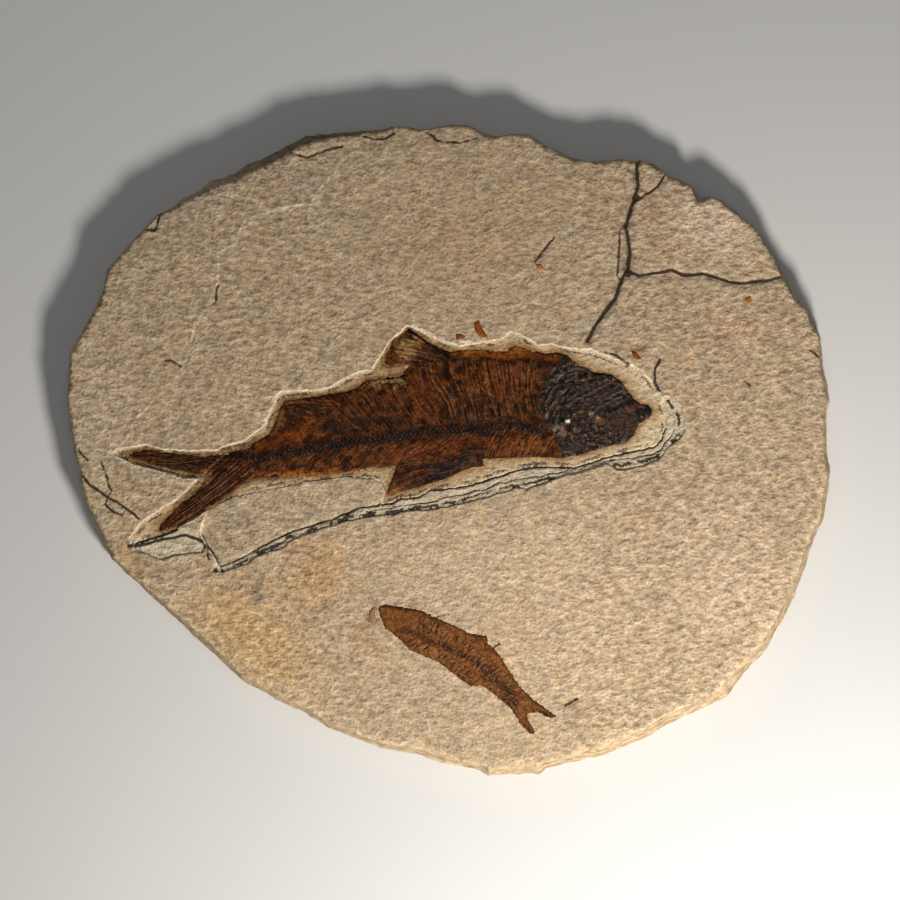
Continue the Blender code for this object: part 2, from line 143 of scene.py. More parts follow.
HAIRLINES = [
    [(165, 361), (170, 360), (180, 366)],
    [(101, 462), (106, 475), (108, 484), (112, 491)],
    [(77, 449), (82, 455), (88, 461)],
    [(290, 151), (300, 156), (307, 158), (318, 153), (330, 149), (343, 146)],
    [(363, 136), (372, 139), (385, 139), (395, 133)],
    [(425, 131), (432, 136), (438, 141), (460, 143), (478, 138)],
    [(142, 229), (155, 231), (158, 222), (160, 213)],
    [(555, 237), (547, 246), (535, 262)],
    [(565, 706), (577, 699)],
    [(495, 647), (500, 644)],
    [(437, 617), (444, 615), (450, 614)],
    [(200, 540), (206, 548), (209, 560)],
    [(810, 350), (820, 358)],
    [(744, 381), (750, 386)],
    [(217, 286), (216, 300), (214, 304)],
    [(606, 352), (618, 356), (628, 364)],
    [(762, 240), (769, 248), (777, 260), (787, 275)],
    [(804, 304), (809, 312), (812, 322)],
    [(256, 163), (268, 158), (284, 149), (298, 143), (312, 141)],
    [(648, 160), (640, 162), (633, 160)],
]
PITS = [
    (756, 493), (707, 640), (666, 611), (341, 701), (390, 701), (596, 632), (211, 302), (713, 420),
    (640, 540),
]  # fmt: skip

# Soft patches of colour on the stone: middle, half size, turn in degrees, colour and strength.
STONE_PATCHES = [
    ((318, 575), (52, 56), 0, (206, 158, 104), 0.6),
    ((250, 635), (110, 70), -35, (210, 172, 122), 0.9),
    ((365, 640), (16, 40), 0, ORANGE_STONE, 0.4),
    ((128, 562), (45, 24), -40, ORANGE_STONE, 0.5),
    ((185, 200), (90, 45), 30, (186, 164, 141), 0.7),
    ((300, 185), (60, 26), 10, (188, 163, 143), 0.5),
    ((262, 594), (7, 6), 0, (134, 124, 110), 0.9),
    ((292, 510), (95, 22), 10, GREY_STONE, 0.8),
    ((168, 544), (32, 10), 0, PALE_FLAKE, 0.8),
    ((715, 228), (75, 50), -25, (224, 197, 168), 0.95),
    ((377, 614), (9, 13), -12, (150, 116, 86), 0.95),
    ((650, 215), (20, 22), 0, (200, 158, 118), 0.5),
    ((668, 250), (24, 10), 0, (206, 160, 116), 0.5),
    ((745, 330), (70, 30), 0, (204, 168, 136), 0.6),
    ((600, 325), (34, 22), 0, (178, 166, 146), 0.5),
    ((640, 353), (7, 9), 45, (150, 96, 52), 0.6),
    ((422, 506), (4, 4), 0, (60, 50, 60), 0.9),
    ((692, 442), (8, 4), -25, (168, 128, 104), 0.6),
    ((736, 299), (4, 4), 0, (186, 116, 50), 0.5),
    ((100, 345), (14, 60), 10, (202, 166, 126), 0.5),
    ((470, 250), (120, 60), 0, (194, 162, 126), 0.5),
    ((560, 620), (190, 130), 0, (212, 184, 151), 0.65),
    ((500, 555), (190, 60), 4, (213, 187, 153), 0.7),
    ((98, 400), (40, 130), 0, (206, 183, 156), 0.7),
    ((735, 590), (95, 130), 20, (216, 188, 157), 0.7),
    ((118, 505), (8, 4), -35, (222, 202, 172), 0.8),
]


def plot(points):
    """Drawing-grid points as positions in millimetres."""
    return (np.array(points, float) - GRID_MIDDLE) * (GRID, -GRID)


def linear(colour):
    """A 0 to 255 colour as the numbers that light adds up in."""
    share = np.array(colour, float) / 255
    return np.where(share <= 0.04045, share / 12.92, ((share + 0.055) / 1.055) ** 2.4)


def smooth(share):
    """0 to 1 with an easy start and end."""
    share = np.clip(share, 0, 1)
    return share * share * (3 - 2 * share)


def hashed(i, j, seed):
    """Repeatable numbers from 0 to 1 at whole-number positions."""
    mixed = (i * 73856093) ^ (j * 19349663) ^ (seed * 83492791)
    mixed = ((mixed ^ (mixed >> 13)) * 1274126177) & 0x7FFFFFFF
    mixed = ((mixed ^ (mixed >> 16)) * 374761393) & 0x7FFFFFFF
    return ((mixed ^ (mixed >> 15)) & 0xFFFF) / 0xFFFF


def waves(x, y, seed):
    """Smooth random waves from about -1 to 1, one cell to a unit."""
    i, j = np.floor(x).astype(np.int64), np.floor(y).astype(np.int64)
    total = np.zeros(len(x))
    for step_x in (0, 1):
        for step_y in (0, 1):
            turn = 2 * np.pi * hashed(i + step_x, j + step_y, seed)
            away_x, away_y = x - i - step_x, y - j - step_y
            weight = smooth(1 - abs(away_x)) * smooth(1 - abs(away_y))
            total += weight * (np.cos(turn) * away_x + np.sin(turn) * away_y)
    return 1.6 * total


def grain(points, degrees, long, wide, seed):
    """Random waves of that length along a bearing and that width across it."""
    turn = np.radians(degrees)
    x, y = points.T
    along = x * np.cos(turn) + y * np.sin(turn)
    across = y * np.cos(turn) - x * np.sin(turn)
    return waves(along / long, across / wide, seed)


def ragged(points, sizes, seed):
    """The points pushed about, so that a clean line read at them comes out broken."""
    moved = points.copy()
    for n, (length, height) in enumerate(sizes):
        x, y = (points / length).T
        for axis in (0, 1):
            moved[:, axis] += height * waves(x, y, seed + 2 * n + axis)
    return moved


def wandering(points):
    """Where cracks and veins are looked up, so that they wander."""
    return ragged(points, ((4, 0.25), (1.3, 0.16)), 60)


def coarsely(points):
    """Where the most broken ledges are looked up."""
    return ragged(points, ((7, 0.8), (2.6, 0.3), (1.2, 0.08)), 20)


def finely(points):
    """Where the cleaner ledges are looked up."""
    return ragged(points, ((5, 0.4), (2, 0.3), (1.1, 0.14)), 30)


def raggedly(points):
    """Where the seams between thin layers are looked up."""
    return ragged(points, ((6, 0.5), (2.2, 0.16), (1.1, 0.05)), 40)


LEDGE_WARPS = (finely, finely, coarsely, finely, coarsely)  # from the hollow to the outer ledge


def undone(targets, warp):
    """The points that the warp moves onto the targets."""
    points = targets
    for _ in range(5):
        points = targets + points - warp(points)
    return points


def distance(points, line, closed=False, reach=np.inf):
    """How far each point is from the line, no further than the reach."""
    line = np.asarray(line)
    found = np.full(len(points), min(reach, 1e6))
    near = ((points > line.min(axis=0) - reach) & (points < line.max(axis=0) + reach)).all(axis=1)
    close, nearest = points[near], found[near]
    ends = np.roll(line, -1, axis=0) if closed else line[1:]
    for start, end in zip(line, ends):
        along = end - start
        share = np.clip((close - start) @ along / max(along @ along, 1e-12), 0, 1)
        away = close - start - share[:, None] * along
        nearest = np.minimum(nearest, np.hypot(away[:, 0], away[:, 1]))
    found[near] = nearest
    return found


def inside(points, ring):
    """Which of the points lie inside the ring."""
    x, y = points.T
    found = np.zeros(len(points), bool)
    for (x0, y0), (x1, y1) in zip(ring, np.roll(ring, -1, axis=0)):
        if y0 != y1:
            found ^= ((y0 > y) != (y1 > y)) & (x < (x1 - x0) * (y - y0) / (y1 - y0) + x0)
    return found


def depth_inside(points, ring, reach=np.inf):
    """The distance to the ring, positive inside it and negative outside."""
    return distance(points, ring, True, reach) * np.where(inside(points, ring), 1, -1)


def depth_and_facing(points, ring):
    """The depth inside an anticlockwise ring, and how far north the way in over the nearest side points."""
    nearest, facing = np.full(len(points), np.inf), np.zeros(len(points))
    for start, end in zip(ring, np.roll(ring, -1, axis=0)):
        along = end - start
        length = max(math.hypot(*along), 1e-9)
        share = np.clip((points - start) @ along / length**2, 0, 1)
        x, y = points.T
        away = np.hypot(x - start[0] - share * along[0], y - start[1] - share * along[1])
        closer = away < nearest
        nearest[closer] = away[closer]
        facing[closer] = along[0] / length
    return nearest * np.where(inside(points, ring), 1, -1), facing


def area(ring):
    """The area inside a ring, above 0 when it runs anticlockwise."""
    x, y = ring.T
    return (x @ np.roll(y, -1) - y @ np.roll(x, -1)) / 2


def divided(line, step, closed=False):
    """The line as points at even distances along it."""
    line = np.asarray(line, float)
    whole = np.concatenate([line, line[:1]]) if closed else line
    lengths = np.hypot(*np.diff(whole, axis=0).T)
    along = np.concatenate([[0], np.cumsum(lengths)])
    count = max(2, round(along[-1] / step))
    places = np.linspace(0, along[-1], count + 1)
    if closed:
        places = places[:-1]
    return np.column_stack([np.interp(places, along, whole[:, axis]) for axis in (0, 1)])


def normals(ring):
    """The way into an anticlockwise ring, at each of its points."""
    along = np.roll(ring, -1, axis=0) - np.roll(ring, 1, axis=0)
    across = np.column_stack([-along[:, 1], along[:, 0]])
    return across / np.hypot(*across.T)[:, None]


def thinned(line, slack):
    """The line with the points left out that lie within the slack of it."""
    if len(line) < 3:
        return line
    away = distance(line, line[[0, -1]])
    worst = int(away.argmax())
    if away[worst] <= slack:
        return line[[0, -1]]
    return np.concatenate([thinned(line[: worst + 1], slack)[:-1], thinned(line[worst:], slack)])


def sections(node, height, slack=0.04):
    """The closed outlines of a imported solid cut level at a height, largest first, all anticlockwise."""
    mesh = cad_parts[node].data
    mesh.calc_loop_triangles()
    points = np.empty(len(mesh.vertices) * 3, np.float32)
    mesh.vertices.foreach_get("co", points)
    points = points.reshape(-1, 3).astype(float) * 1000
    corners = np.empty(len(mesh.loop_triangles) * 3, np.int32)
    mesh.loop_triangles.foreach_get("vertices", corners)
    _, first, same = np.unique(np.round(points, 3), axis=0, return_index=True, return_inverse=True)
    points, corners = points[first], same.reshape(-1)[corners].reshape(-1, 3)
    above = points[:, 2] > height
    following, crossing = {}, {}
    for triangle in corners[above[corners].any(axis=1) & ~above[corners].all(axis=1)]:
        ends = [None, None]
        for a, b in zip(triangle, np.roll(triangle, -1)):
            if above[a] != above[b]:
                edge = (min(a, b), max(a, b))
                share = (height - points[a, 2]) / (points[b, 2] - points[a, 2])
                crossing[edge] = points[a, :2] + share * (points[b, :2] - points[a, :2])
                ends[int(above[b])] = edge
        following[ends[0]] = ends[1]
    rings = []
    while following:
        start, edge = next(iter(following.items()))
        del following[start]
        ring = [crossing[start]]
        while edge != start:
            ring.append(crossing[edge])
            edge = following.pop(edge)
        ring = np.array(ring)
        half = len(ring) // 2
        halves = ring[: half + 1], np.vstack([ring[half:], ring[:1]])
        ring = np.concatenate([thinned(part, slack)[:-1] for part in halves])
        rings.append(ring if area(ring) > 0 else ring[::-1])
    return sorted(rings, key=area, reverse=True)


def shared_heights(node, lowest, least):
    """The heights above the lowest that at least so many of a solid's points share, deepest first."""
    heights = np.array([vertex.co.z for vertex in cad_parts[node].data.vertices]) * 1000
    levels, counts = np.unique(np.round(heights, 3), return_counts=True)
    return [float(level) for level, count in zip(levels, counts) if level > lowest and count >= least]


# The ledges' floors, deepest first, and the outline of everything at least that deep.
FLOORS = shared_heights("stone_slab", LEDGES_ABOVE, FLOOR_POINTS)[:5]
HOLLOW, SHELF, MIDDLE, FLAKE, OUTER = FLOORS
CUTS = [(a + b) / 2 for a, b in zip(FLOORS, FLOORS[1:])] + [OUTER + 0.03]
LEDGES = [sections("stone_slab", cut)[1] for cut in CUTS]
hollow_ring, shelf_ring, middle_ring, _, outer_ring = LEDGES
silhouette = sections("stone_slab", WIDEST)[0]
fish_ring = sections("large_fish", FISH_CUT)[0]
small_ring = sections("small_fish", SMALL_CUT)[0]
SCALE_NAMES = sorted(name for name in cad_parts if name.startswith("scale_"))
scale_rings = {name: sections(name, SMALL_CUT)[0] for name in SCALE_NAMES}
little_rings = (small_ring, *scale_rings.values())
LET_IN = OUTER + 0.25  # the underside of the small fish and the scales


def swell(points):
    """The long, low waves of the stone's open surface."""
    return 0.2 * grain(points, 0, 46, 46, 1)


def skin(points):
    """The open surface's relief: dimples that slope down to the right in the west, and up in the east."""
    east = smooth((points[:, 0] + 70) / 150)
    relief = swell(points) + 0.08 * grain(points, 10, 14, 11, 2)
    western = 0.13 * grain(points, -20, 3.6, 2.3, 3) + 0.05 * grain(points, -10, 2.7, 1.9, 4)
    eastern = 0.14 * grain(points, 24, 3.9, 2.3, 5) + 0.05 * grain(points, 12, 2.7, 1.9, 6)
    crests = 0.05 * grain(points, 0, 6.5, 5.0, 7)
    return relief + crests + western * (1 - east) + eastern * east


def seams(ring, inner, share, least):
    """The lines that run that share of the way from a ring to the next, where they are so far apart."""
    points = divided(ring, 1.6, True)
    width = np.clip(-depth_inside(points, inner), 0, 5.5)
    moved = points + normals(points) * (share * width)[:, None]
    wide = width > least
    start = int(np.argmin(wide))
    moved, wide = np.roll(moved, -start, axis=0), np.roll(wide, -start)
    breaks = np.flatnonzero(np.diff(wide.astype(int))) + 1
    runs = zip(np.split(moved, breaks), np.split(wide, breaks))
    return [run for run, kept in runs if kept[0] and len(run) > 3]


LAYER_SEAMS = [
    *seams(outer_ring, middle_ring, 0.55, 2.8),
    *seams(middle_ring, shelf_ring, 0.36, 2.8),
    *seams(middle_ring, shelf_ring, 0.72, 4.2),
]
BANK_SEAMS = seams(hollow_ring, fish_ring, 0.42, 1.8)


def daub(points, middle, reach, degrees, edge=0.45):
    """1 in the middle of an oval patch, falling to 0 at its reach, which is given in grid steps."""
    turn = np.radians(degrees)
    x, y = (points - plot(middle)).T / GRID
    along = (x * np.cos(turn) + y * np.sin(turn)) / reach[0]
    across = (y * np.cos(turn) - x * np.sin(turn)) / reach[1]
    return smooth((1 - np.hypot(along, across)) / edge)


def plain(colour, count):
    """The colour for so many points."""
    return np.tile(linear(colour), (count, 1))


def paint(colours, *coats):
    """The colours moved towards the colour of each coat in turn, by its share."""
    for colour, share in coats:
        colours = colours + (linear(colour) - colours) * np.clip(share, 0, 1)[:, None]
    return colours


def daubed(colours, points, patches, edge):
    """The colours with oval patches on them."""
    for middle, reach, degrees, colour, strength in patches:
        colours = paint(colours, (colour, strength * daub(points, middle, reach, degrees, edge)))
    return colours


def ledge_depths(points):
    """For each ledge, deepest first: the depth inside its outline, and the way that the outline faces."""
    return [depth_and_facing(warp(points), ring) for warp, ring in zip(LEDGE_WARPS, LEDGES)]


def step_up(depth, run):
    """0 at a ledge's edge and outside, 1 from the run inwards."""
    return smooth(depth / run)


def near(value, middle, reach):
    """1 where the value is at the middle, 0 from the reach away."""
    return smooth(1 - abs(value - middle) / reach)


def drawn(away, half_width, strength=1.0):
    """A line for the material: full within the half width, falling evenly beyond. Weaker is thinner."""
    return np.clip(1 - (away - half_width) / LINE_REACH, 0, 1) * strength


def nearest(points, lines, reach=3):
    """The distance to the nearest of the lines."""
    return np.minimum.reduce([distance(points, line, reach=reach) for line in lines])


def stone_face(points):
    """The upper face's height and colour at the points, where it is freshly broken, its lines of painted shade and
    cracks, and its pale lines.
    """
    x, y = points.T
    skin_relief = skin(points)
    depths, facings = zip(*ledge_depths(points))
    hollow, shelf, middle, flake, outer = depths
    hollow_facing, shelf_facing, middle_facing, flake_facing, outer_facing = facings
    fish = depth_inside(points, fish_ring, 60)
    bare = (fish < 0) * 1.0
    lobed = waves(x / 6, y / 6, 50)
    fine = waves(x / 1.7, y / 1.7, 51)

    torn_edge = ragged(points, ((5, 0.5), (1.6, 0.25)), 40)
    lamina = depth_inside(torn_edge, plot(LAMINA_EDGE + LAMINA_OUTSIDE), 20)
    open_height = OPEN + skin_relief + 0.18 * step_up(lamina, 0.6)

    # The thin layers from the outer ledge down to the middle one, and on to the shelf or the hollow.
    open_rim = 1 - smooth((outer - hollow - 1.2) / 2)
    ledge_side = 1 - open_rim
    on_ledges = ledge_side > 0.5
    seam_place = raggedly(points)
    layer_seam, bank_seam = nearest(seam_place, LAYER_SEAMS), nearest(seam_place, BANK_SEAMS)
    seam_strength = 0.66 + 0.34 * smooth(0.75 + lobed + 0.4 * fine)
    # Painted shade: dark lines along the seams between thin layers, and on the hollow's bank.
    shade_and_crack_lines = drawn(layer_seam, 0.06, seam_strength) * (flake < 0.2) * on_ledges
    bank_strength = 0.66 + 0.2 * smooth(0.6 + 1.2 * lobed + 0.5 * fine)
    shade_and_crack_lines = np.maximum(shade_and_crack_lines, drawn(bank_seam, 0.0, bank_strength) * (hollow > 0.6) * (fish < -0.3))
    share = np.clip(outer / np.maximum(outer - middle, 0.4), 0, 1)
    outer_floor = OUTER - 0.08 - 0.4 * share + 0.25 * skin_relief + 0.07 * lobed + 0.04 * fine
    share = np.clip(middle / np.maximum(middle - shelf, 0.4), 0, 1)
    middle_floor = MIDDLE - 0.05 - 0.25 * share + 0.25 * skin_relief + 0.06 * lobed + 0.04 * fine
    shelf_floor = SHELF + 0.55 * skin_relief
    height = open_height
    for floor, depth, run in (
        (outer_floor, outer, STEEP_RUN),
        (FLAKE + 0.5 * skin_relief, flake, STEEP_RUN),
        (middle_floor, middle, STEEP_RUN),
        (shelf_floor, shelf, 0.4),
    ):
        height = height + (floor - height) * step_up(depth, run) * ledge_side

    # The hollow: a steep rim, a slope with one broken layer on it, and a floor that meets the fish's edge.
    gap = hollow / np.maximum(hollow - np.minimum(fish, 0), 1e-6)
    by_shelf = smooth((shelf - hollow - 0.8) / 2)
    before = middle_floor + (shelf_floor - middle_floor) * by_shelf
    before = before + (open_height - before) * open_rim
    drop = 0.42 - 0.17 * by_shelf + 0.63 * open_rim
    rim = before - drop * step_up(hollow, STEEP_RUN)
    broken = 0.3 * step_up(gap + 0.15 * lobed - 0.36, 0.12) + 0.25 * gap
    slope = rim - broken * open_rim + 0.06 * fine * (1 - gap)
    sunk = np.maximum(slope + 0.05 * lobed + 0.03 * fine, HOLLOW + 0.42)
    height = np.where(hollow > 0, sunk, height)
    height = height + (HOLLOW + 0.02 - height) * step_up(fish - 0.35, 0.5)
    for ring in little_rings:
        under = step_up(depth_inside(points, ring, 3) - 0.3, 0.4)
        height = height + (OUTER + 0.1 - height) * under

    # Grooves at the foot of the sides that face north, away from the light.
    thickness = 0.34 + 0.5 * smooth(0.5 + lobed + 0.3 * fine)
    strong = np.clip(0.75 + 0.8 * lobed + 0.35 * fine, 0.2, 1)
    stronger = np.clip(strong + 0.3, 0, 1)
    groove = 0.34 * near(flake, STEEP_RUN, 0.4) * smooth(2 * abs(flake_facing)) * (middle < 0.3)
    for depth, facing, place, reach, north, here in (
        (outer, outer_facing, STEEP_RUN, thickness, 0.2, 0.36 * strong * (flake < 0.3)),
        (middle, middle_facing, STEEP_RUN, thickness + 0.1, 0.2, 0.5 * strong * (shelf < 0.4)),
        (shelf, shelf_facing, 0.45, thickness + 0.35, 0.2, 0.6 * stronger * (hollow < 0.4)),
        (hollow, hollow_facing, STEEP_RUN, thickness, 0.1, 0.45 * strong * (1 - 0.4 * by_shelf)),
    ):
        groove = np.maximum(groove, near(depth, place, reach) * smooth(1.6 * facing + north) * here)
    height -= groove * ledge_side * bare
    height -= 0.2 * near(layer_seam, 0, 0.4) * ledge_side + 0.14 * near(bank_seam, 0, 0.4) * (hollow > 0)
    # Painted shade: a dark line at the foot of each ledge's side, strongest where the side faces north, away from
    # the light.
    wide = 0.26 * smooth(0.2 + lobed + 0.5 * fine)
    narrow = 1 - smooth((outer - middle - 2.4) / 1.6)
    ledge_width = 1.8
    for depth, facing, more, strength, here in (
        (outer, outer_facing, 0, 0.9, (flake < 0.3) * (outer - flake > ledge_width) * (1 - 0.16 * narrow)),
        (flake, 0.35 + abs(flake_facing), 0, 0.9, (middle < 0.3) * (flake - middle > ledge_width)),
        (middle, middle_facing, 0.05, 1.0, (shelf < 0.4) * (middle - shelf > ledge_width)),
        (shelf, shelf_facing, 0.2, 1.0, hollow < 0.4),
        (hollow, hollow_facing, 0, 0.95, hollow < 3),
    ):
        faced = 0.55 + 0.45 * smooth(1.8 * facing + 0.3)
        foot = drawn(abs(depth - STEEP_RUN), wide * strength + more, strength * faced)
        shade_and_crack_lines = np.maximum(shade_and_crack_lines, foot * here * on_ledges * (fish < 0.2))

    # Cracks, veins, hairlines and pits, with painted shade in the cracks, hairlines and pits and a painted shadow
    # beside the north crack.
    wander = wandering(points)
    pale_edge = np.zeros(len(points))
    for line, half_width, depth, dark in CRACKS:
        away = distance(wander, plot(line), reach=4)
        height -= depth * smooth((half_width + 0.4 - away) / 0.4) * (outer < 0.2)
        shade_and_crack_lines = np.maximum(shade_and_crack_lines, drawn(away, half_width, (0.8 + 0.2 * dark) * (1 + 0.08 * lobed)))
        pale_edge = np.maximum(pale_edge, near(away, half_width + 0.55, 0.4) * smooth(0.6 + lobed))
    shade = near(distance(wander + (1.0, 0.2), plot(NORTH_CRACK), reach=4), 0, 1.6) * smooth(0.9 + lobed)
    vein_away = nearest(wander, [plot(line) for line in PALE_VEINS])
    vein_strength = 0.77 + 0.2 * waves(x / 4, y / 4, 62)
    height += 0.22 * near(vein_away, 0, 0.5) * smooth(vein_strength)
    hair_away = nearest(wander, [plot(line) for line in HAIRLINES])
    height -= 0.25 * near(hair_away, 0, 0.44)
    shade_and_crack_lines = np.maximum(shade_and_crack_lines, drawn(hair_away, 0, 0.9 + 0.14 * waves(x / 3, y / 3, 63)))
    for spot in PITS:
        away = np.hypot(*(points - plot(spot)).T)
        height -= 0.5 * smooth(1 - away / 0.9)
        shade_and_crack_lines = np.maximum(shade_and_crack_lines, drawn(away, 0.1))

    # Colour.
    patch = waves(x / 17, y / 17, 70)
    tint = waves(x / 9, y / 9, 71)
    colours = paint(
        plain(STONE, len(points)),
        ((203, 173, 142), 0.8 * smooth(patch * 0.9)),
        ((188, 167, 140), 0.8 * smooth(-patch * 0.8 - 0.05)),
        ((202, 169, 128), 0.45 * smooth(tint - 0.15)),
    )
    loose = ragged(points, ((18, 5), (6, 2.5), (2.2, 1)), 80)
    for stain in STONE_PATCHES:
        colours = daubed(colours, loose, [stain], 0.9 if max(stain[1]) > 12 else 0.4)
    # Painted shade and light: the colour darker in the relief's dimples and lighter on its crests.
    relief_shade = np.clip((skin_relief - swell(points)) / 0.16, -1, 1)
    colours *= (1 + 0.13 * relief_shade)[:, None]
    on_ledge = step_up(outer, 0.4) * ledge_side
    in_hollow = step_up(hollow, 0.3)
    on_shelf = step_up(shelf, 0.4) * (1 - in_hollow) * ledge_side
    by_head, west = smooth((x - 50) / 30), smooth((20 - x) / 60)
    streaked = grain(ragged(points, ((3, 0.8), (1.2, 0.4)), 44), 8, 3.2, 0.7, 45)
    ochre = near(gap + 0.15 * lobed, 0.55, 0.4) * (0.35 + 0.65 * open_rim)
    gold = smooth((gap - 0.6) / 0.3) * smooth(0.6 + lobed) * (0.3 + 0.7 * open_rim)
    near_fish = np.exp(np.minimum(fish, 0) / 1.5) * smooth(0.8 + 0.7 * fine + 0.4 * lobed)
    colours = paint(
        colours,
        ((212, 195, 166), 0.85 * on_ledge * (1 - on_shelf)),
        ((194, 171, 141), 0.7 * on_shelf),
        ((208, 182, 142), 0.95 * in_hollow),
        (FRESH_STONE, (0.3 + 0.6 * by_head) * in_hollow),
        ((238, 220, 186), 0.8 * in_hollow * smooth(0.45 - gap + 0.7 * lobed + 0.5 * fine)),
        ((150, 116, 78), 0.75 * in_hollow * smooth(streaked * 1.5 - 0.1) * (1 - 0.5 * by_head)),
        ((180, 150, 106), 0.6 * in_hollow * ochre * (0.4 + 0.6 * smooth((30 - x) / 60))),
        (GOLD_STONE, 0.6 * in_hollow * gold),
        ((184, 138, 82), 0.7 * np.exp(np.minimum(fish, 0) / 2.5) * in_hollow),
        (UMBER, 0.9 * near_fish * (0.55 + 0.45 * west) * in_hollow),
        ((124, 99, 68), shade * 0.8),
        (FRESH_STONE, 0.6 * pale_edge),
    )
    pale = drawn(abs(hollow + 0.1), 0.14, 0.72 + 0.28 * open_rim)
    for depth in (outer, middle, shelf):
        pale = np.maximum(pale, drawn(abs(depth + 0.12), 0.0, 0.88) * (hollow < 0) * on_ledges)
    pale = np.maximum(pale, drawn(vein_away, 0, vein_strength))
    lip = near(hollow, -0.1, 0.5)
    fresh = np.clip(np.maximum(in_hollow, 0.6 * on_ledge * (1 - on_shelf)) + 0.5 * lip, 0, 1)
    return height, colours, {"fresh": fresh, "shade_and_crack_lines": shade_and_crack_lines, "pale": pale}


def mesh_object(name, points, faces, colours, masks, material):
    """A smooth mesh, with its painted colours and masks at its points."""
    mesh = bpy.data.meshes.new(name)
    mesh.from_pydata((np.asarray(points) / 1000).tolist(), [], faces)
    mesh.polygons.foreach_set("use_smooth", np.ones(len(mesh.polygons), bool))
    tone = mesh.attributes.new("tone", "FLOAT_COLOR", "POINT")
    tone.data.foreach_set("color", np.column_stack([colours, np.ones(len(colours))]).ravel())
    for mask, values in masks.items():
        values = np.asarray(values, np.float32)
        if values.ndim == 2:
            mesh.attributes.new(mask, "FLOAT_VECTOR", "POINT").data.foreach_set("vector", values.ravel())
        else:
            mesh.attributes.new(mask, "FLOAT", "POINT").data.foreach_set("value", values)
    mesh.materials.append(material)
    obj = bpy.data.objects.new(name, mesh)
    bpy.context.scene.collection.objects.link(obj)
    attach(obj, "root")
    return obj


def filled(ring, extra):
    """Triangles over the ring and the extra points inside it. The ring's points come first."""
    flat = [Vector(point) for point in np.concatenate([ring, extra]).tolist()]
    border = list(range(len(ring)))
    vertices, _, triangles, sources, _, _ = delaunay_2d_cdt(flat, [], [border], 1, 1e-4)
    place = {source: n for n, found in enumerate(sources) for source in found}
    order = [place[n] for n in border]
    order += sorted(set(range(len(vertices))) - set(order))
    number = np.empty(len(vertices), int)
    number[order] = np.arange(len(order))
    points = np.array([vertices[old] for old in order])
    return points, number[np.array(triangles)].tolist()


def walls(start, count, rows):
    """The quads between rings of so many points, the first ring being points 0 to count - 1."""
    faces = []
    above = np.arange(count)
    for row in range(rows):
        below = start + row * count + np.arange(count)
        faces.append(np.column_stack([above, below, np.roll(below, -1), np.roll(above, -1)]))
        above = below
    return np.concatenate(faces).tolist(), above


def lattice(corner, far, spacing, shake, seed):
    """Loose points in even rows over a rectangle."""
    rng = np.random.default_rng(seed)
    x, y = np.meshgrid(np.arange(corner[0], far[0], spacing), np.arange(corner[1], far[1], spacing * 0.87))
    x = x + (np.arange(len(x)) % 2)[:, None] * spacing / 2
    points = np.column_stack([x.ravel(), y.ravel()])
    return points + rng.uniform(-shake, shake, points.shape) * spacing


def beside(line, offsets, warp=None, closed=False):
    """Rows of points along a line at each offset from it, positive to its left."""
    points = divided(line, ROW_STEP, closed)
    if closed:
        across = normals(points)
    else:
        along = np.gradient(points, axis=0)
        across = np.column_stack([-along[:, 1], along[:, 0]])
        across /= np.maximum(np.hypot(*along.T), 1e-9)[:, None]
    rows = np.concatenate([points + across * offset for offset in offsets])
    return rows if warp is None else undone(rows, warp)


def apart(points, others, least):
    """The points that lie at least so far from all the others."""
    tree = KDTree(len(others))
    for n, (x, y) in enumerate(others.tolist()):
        tree.insert((x, y, 0), n)
    tree.balance()
    return points[[tree.find((x, y, 0))[2] > least for x, y in points.tolist()]]


PIT_POINTS = [(0, 0), (0.5, 0), (-0.5, 0), (0, 0.5), (0, -0.5)]
PIT_POINTS += [(0.9, 0.9), (-0.9, -0.9), (0.9, -0.9), (-0.9, 0.9)]


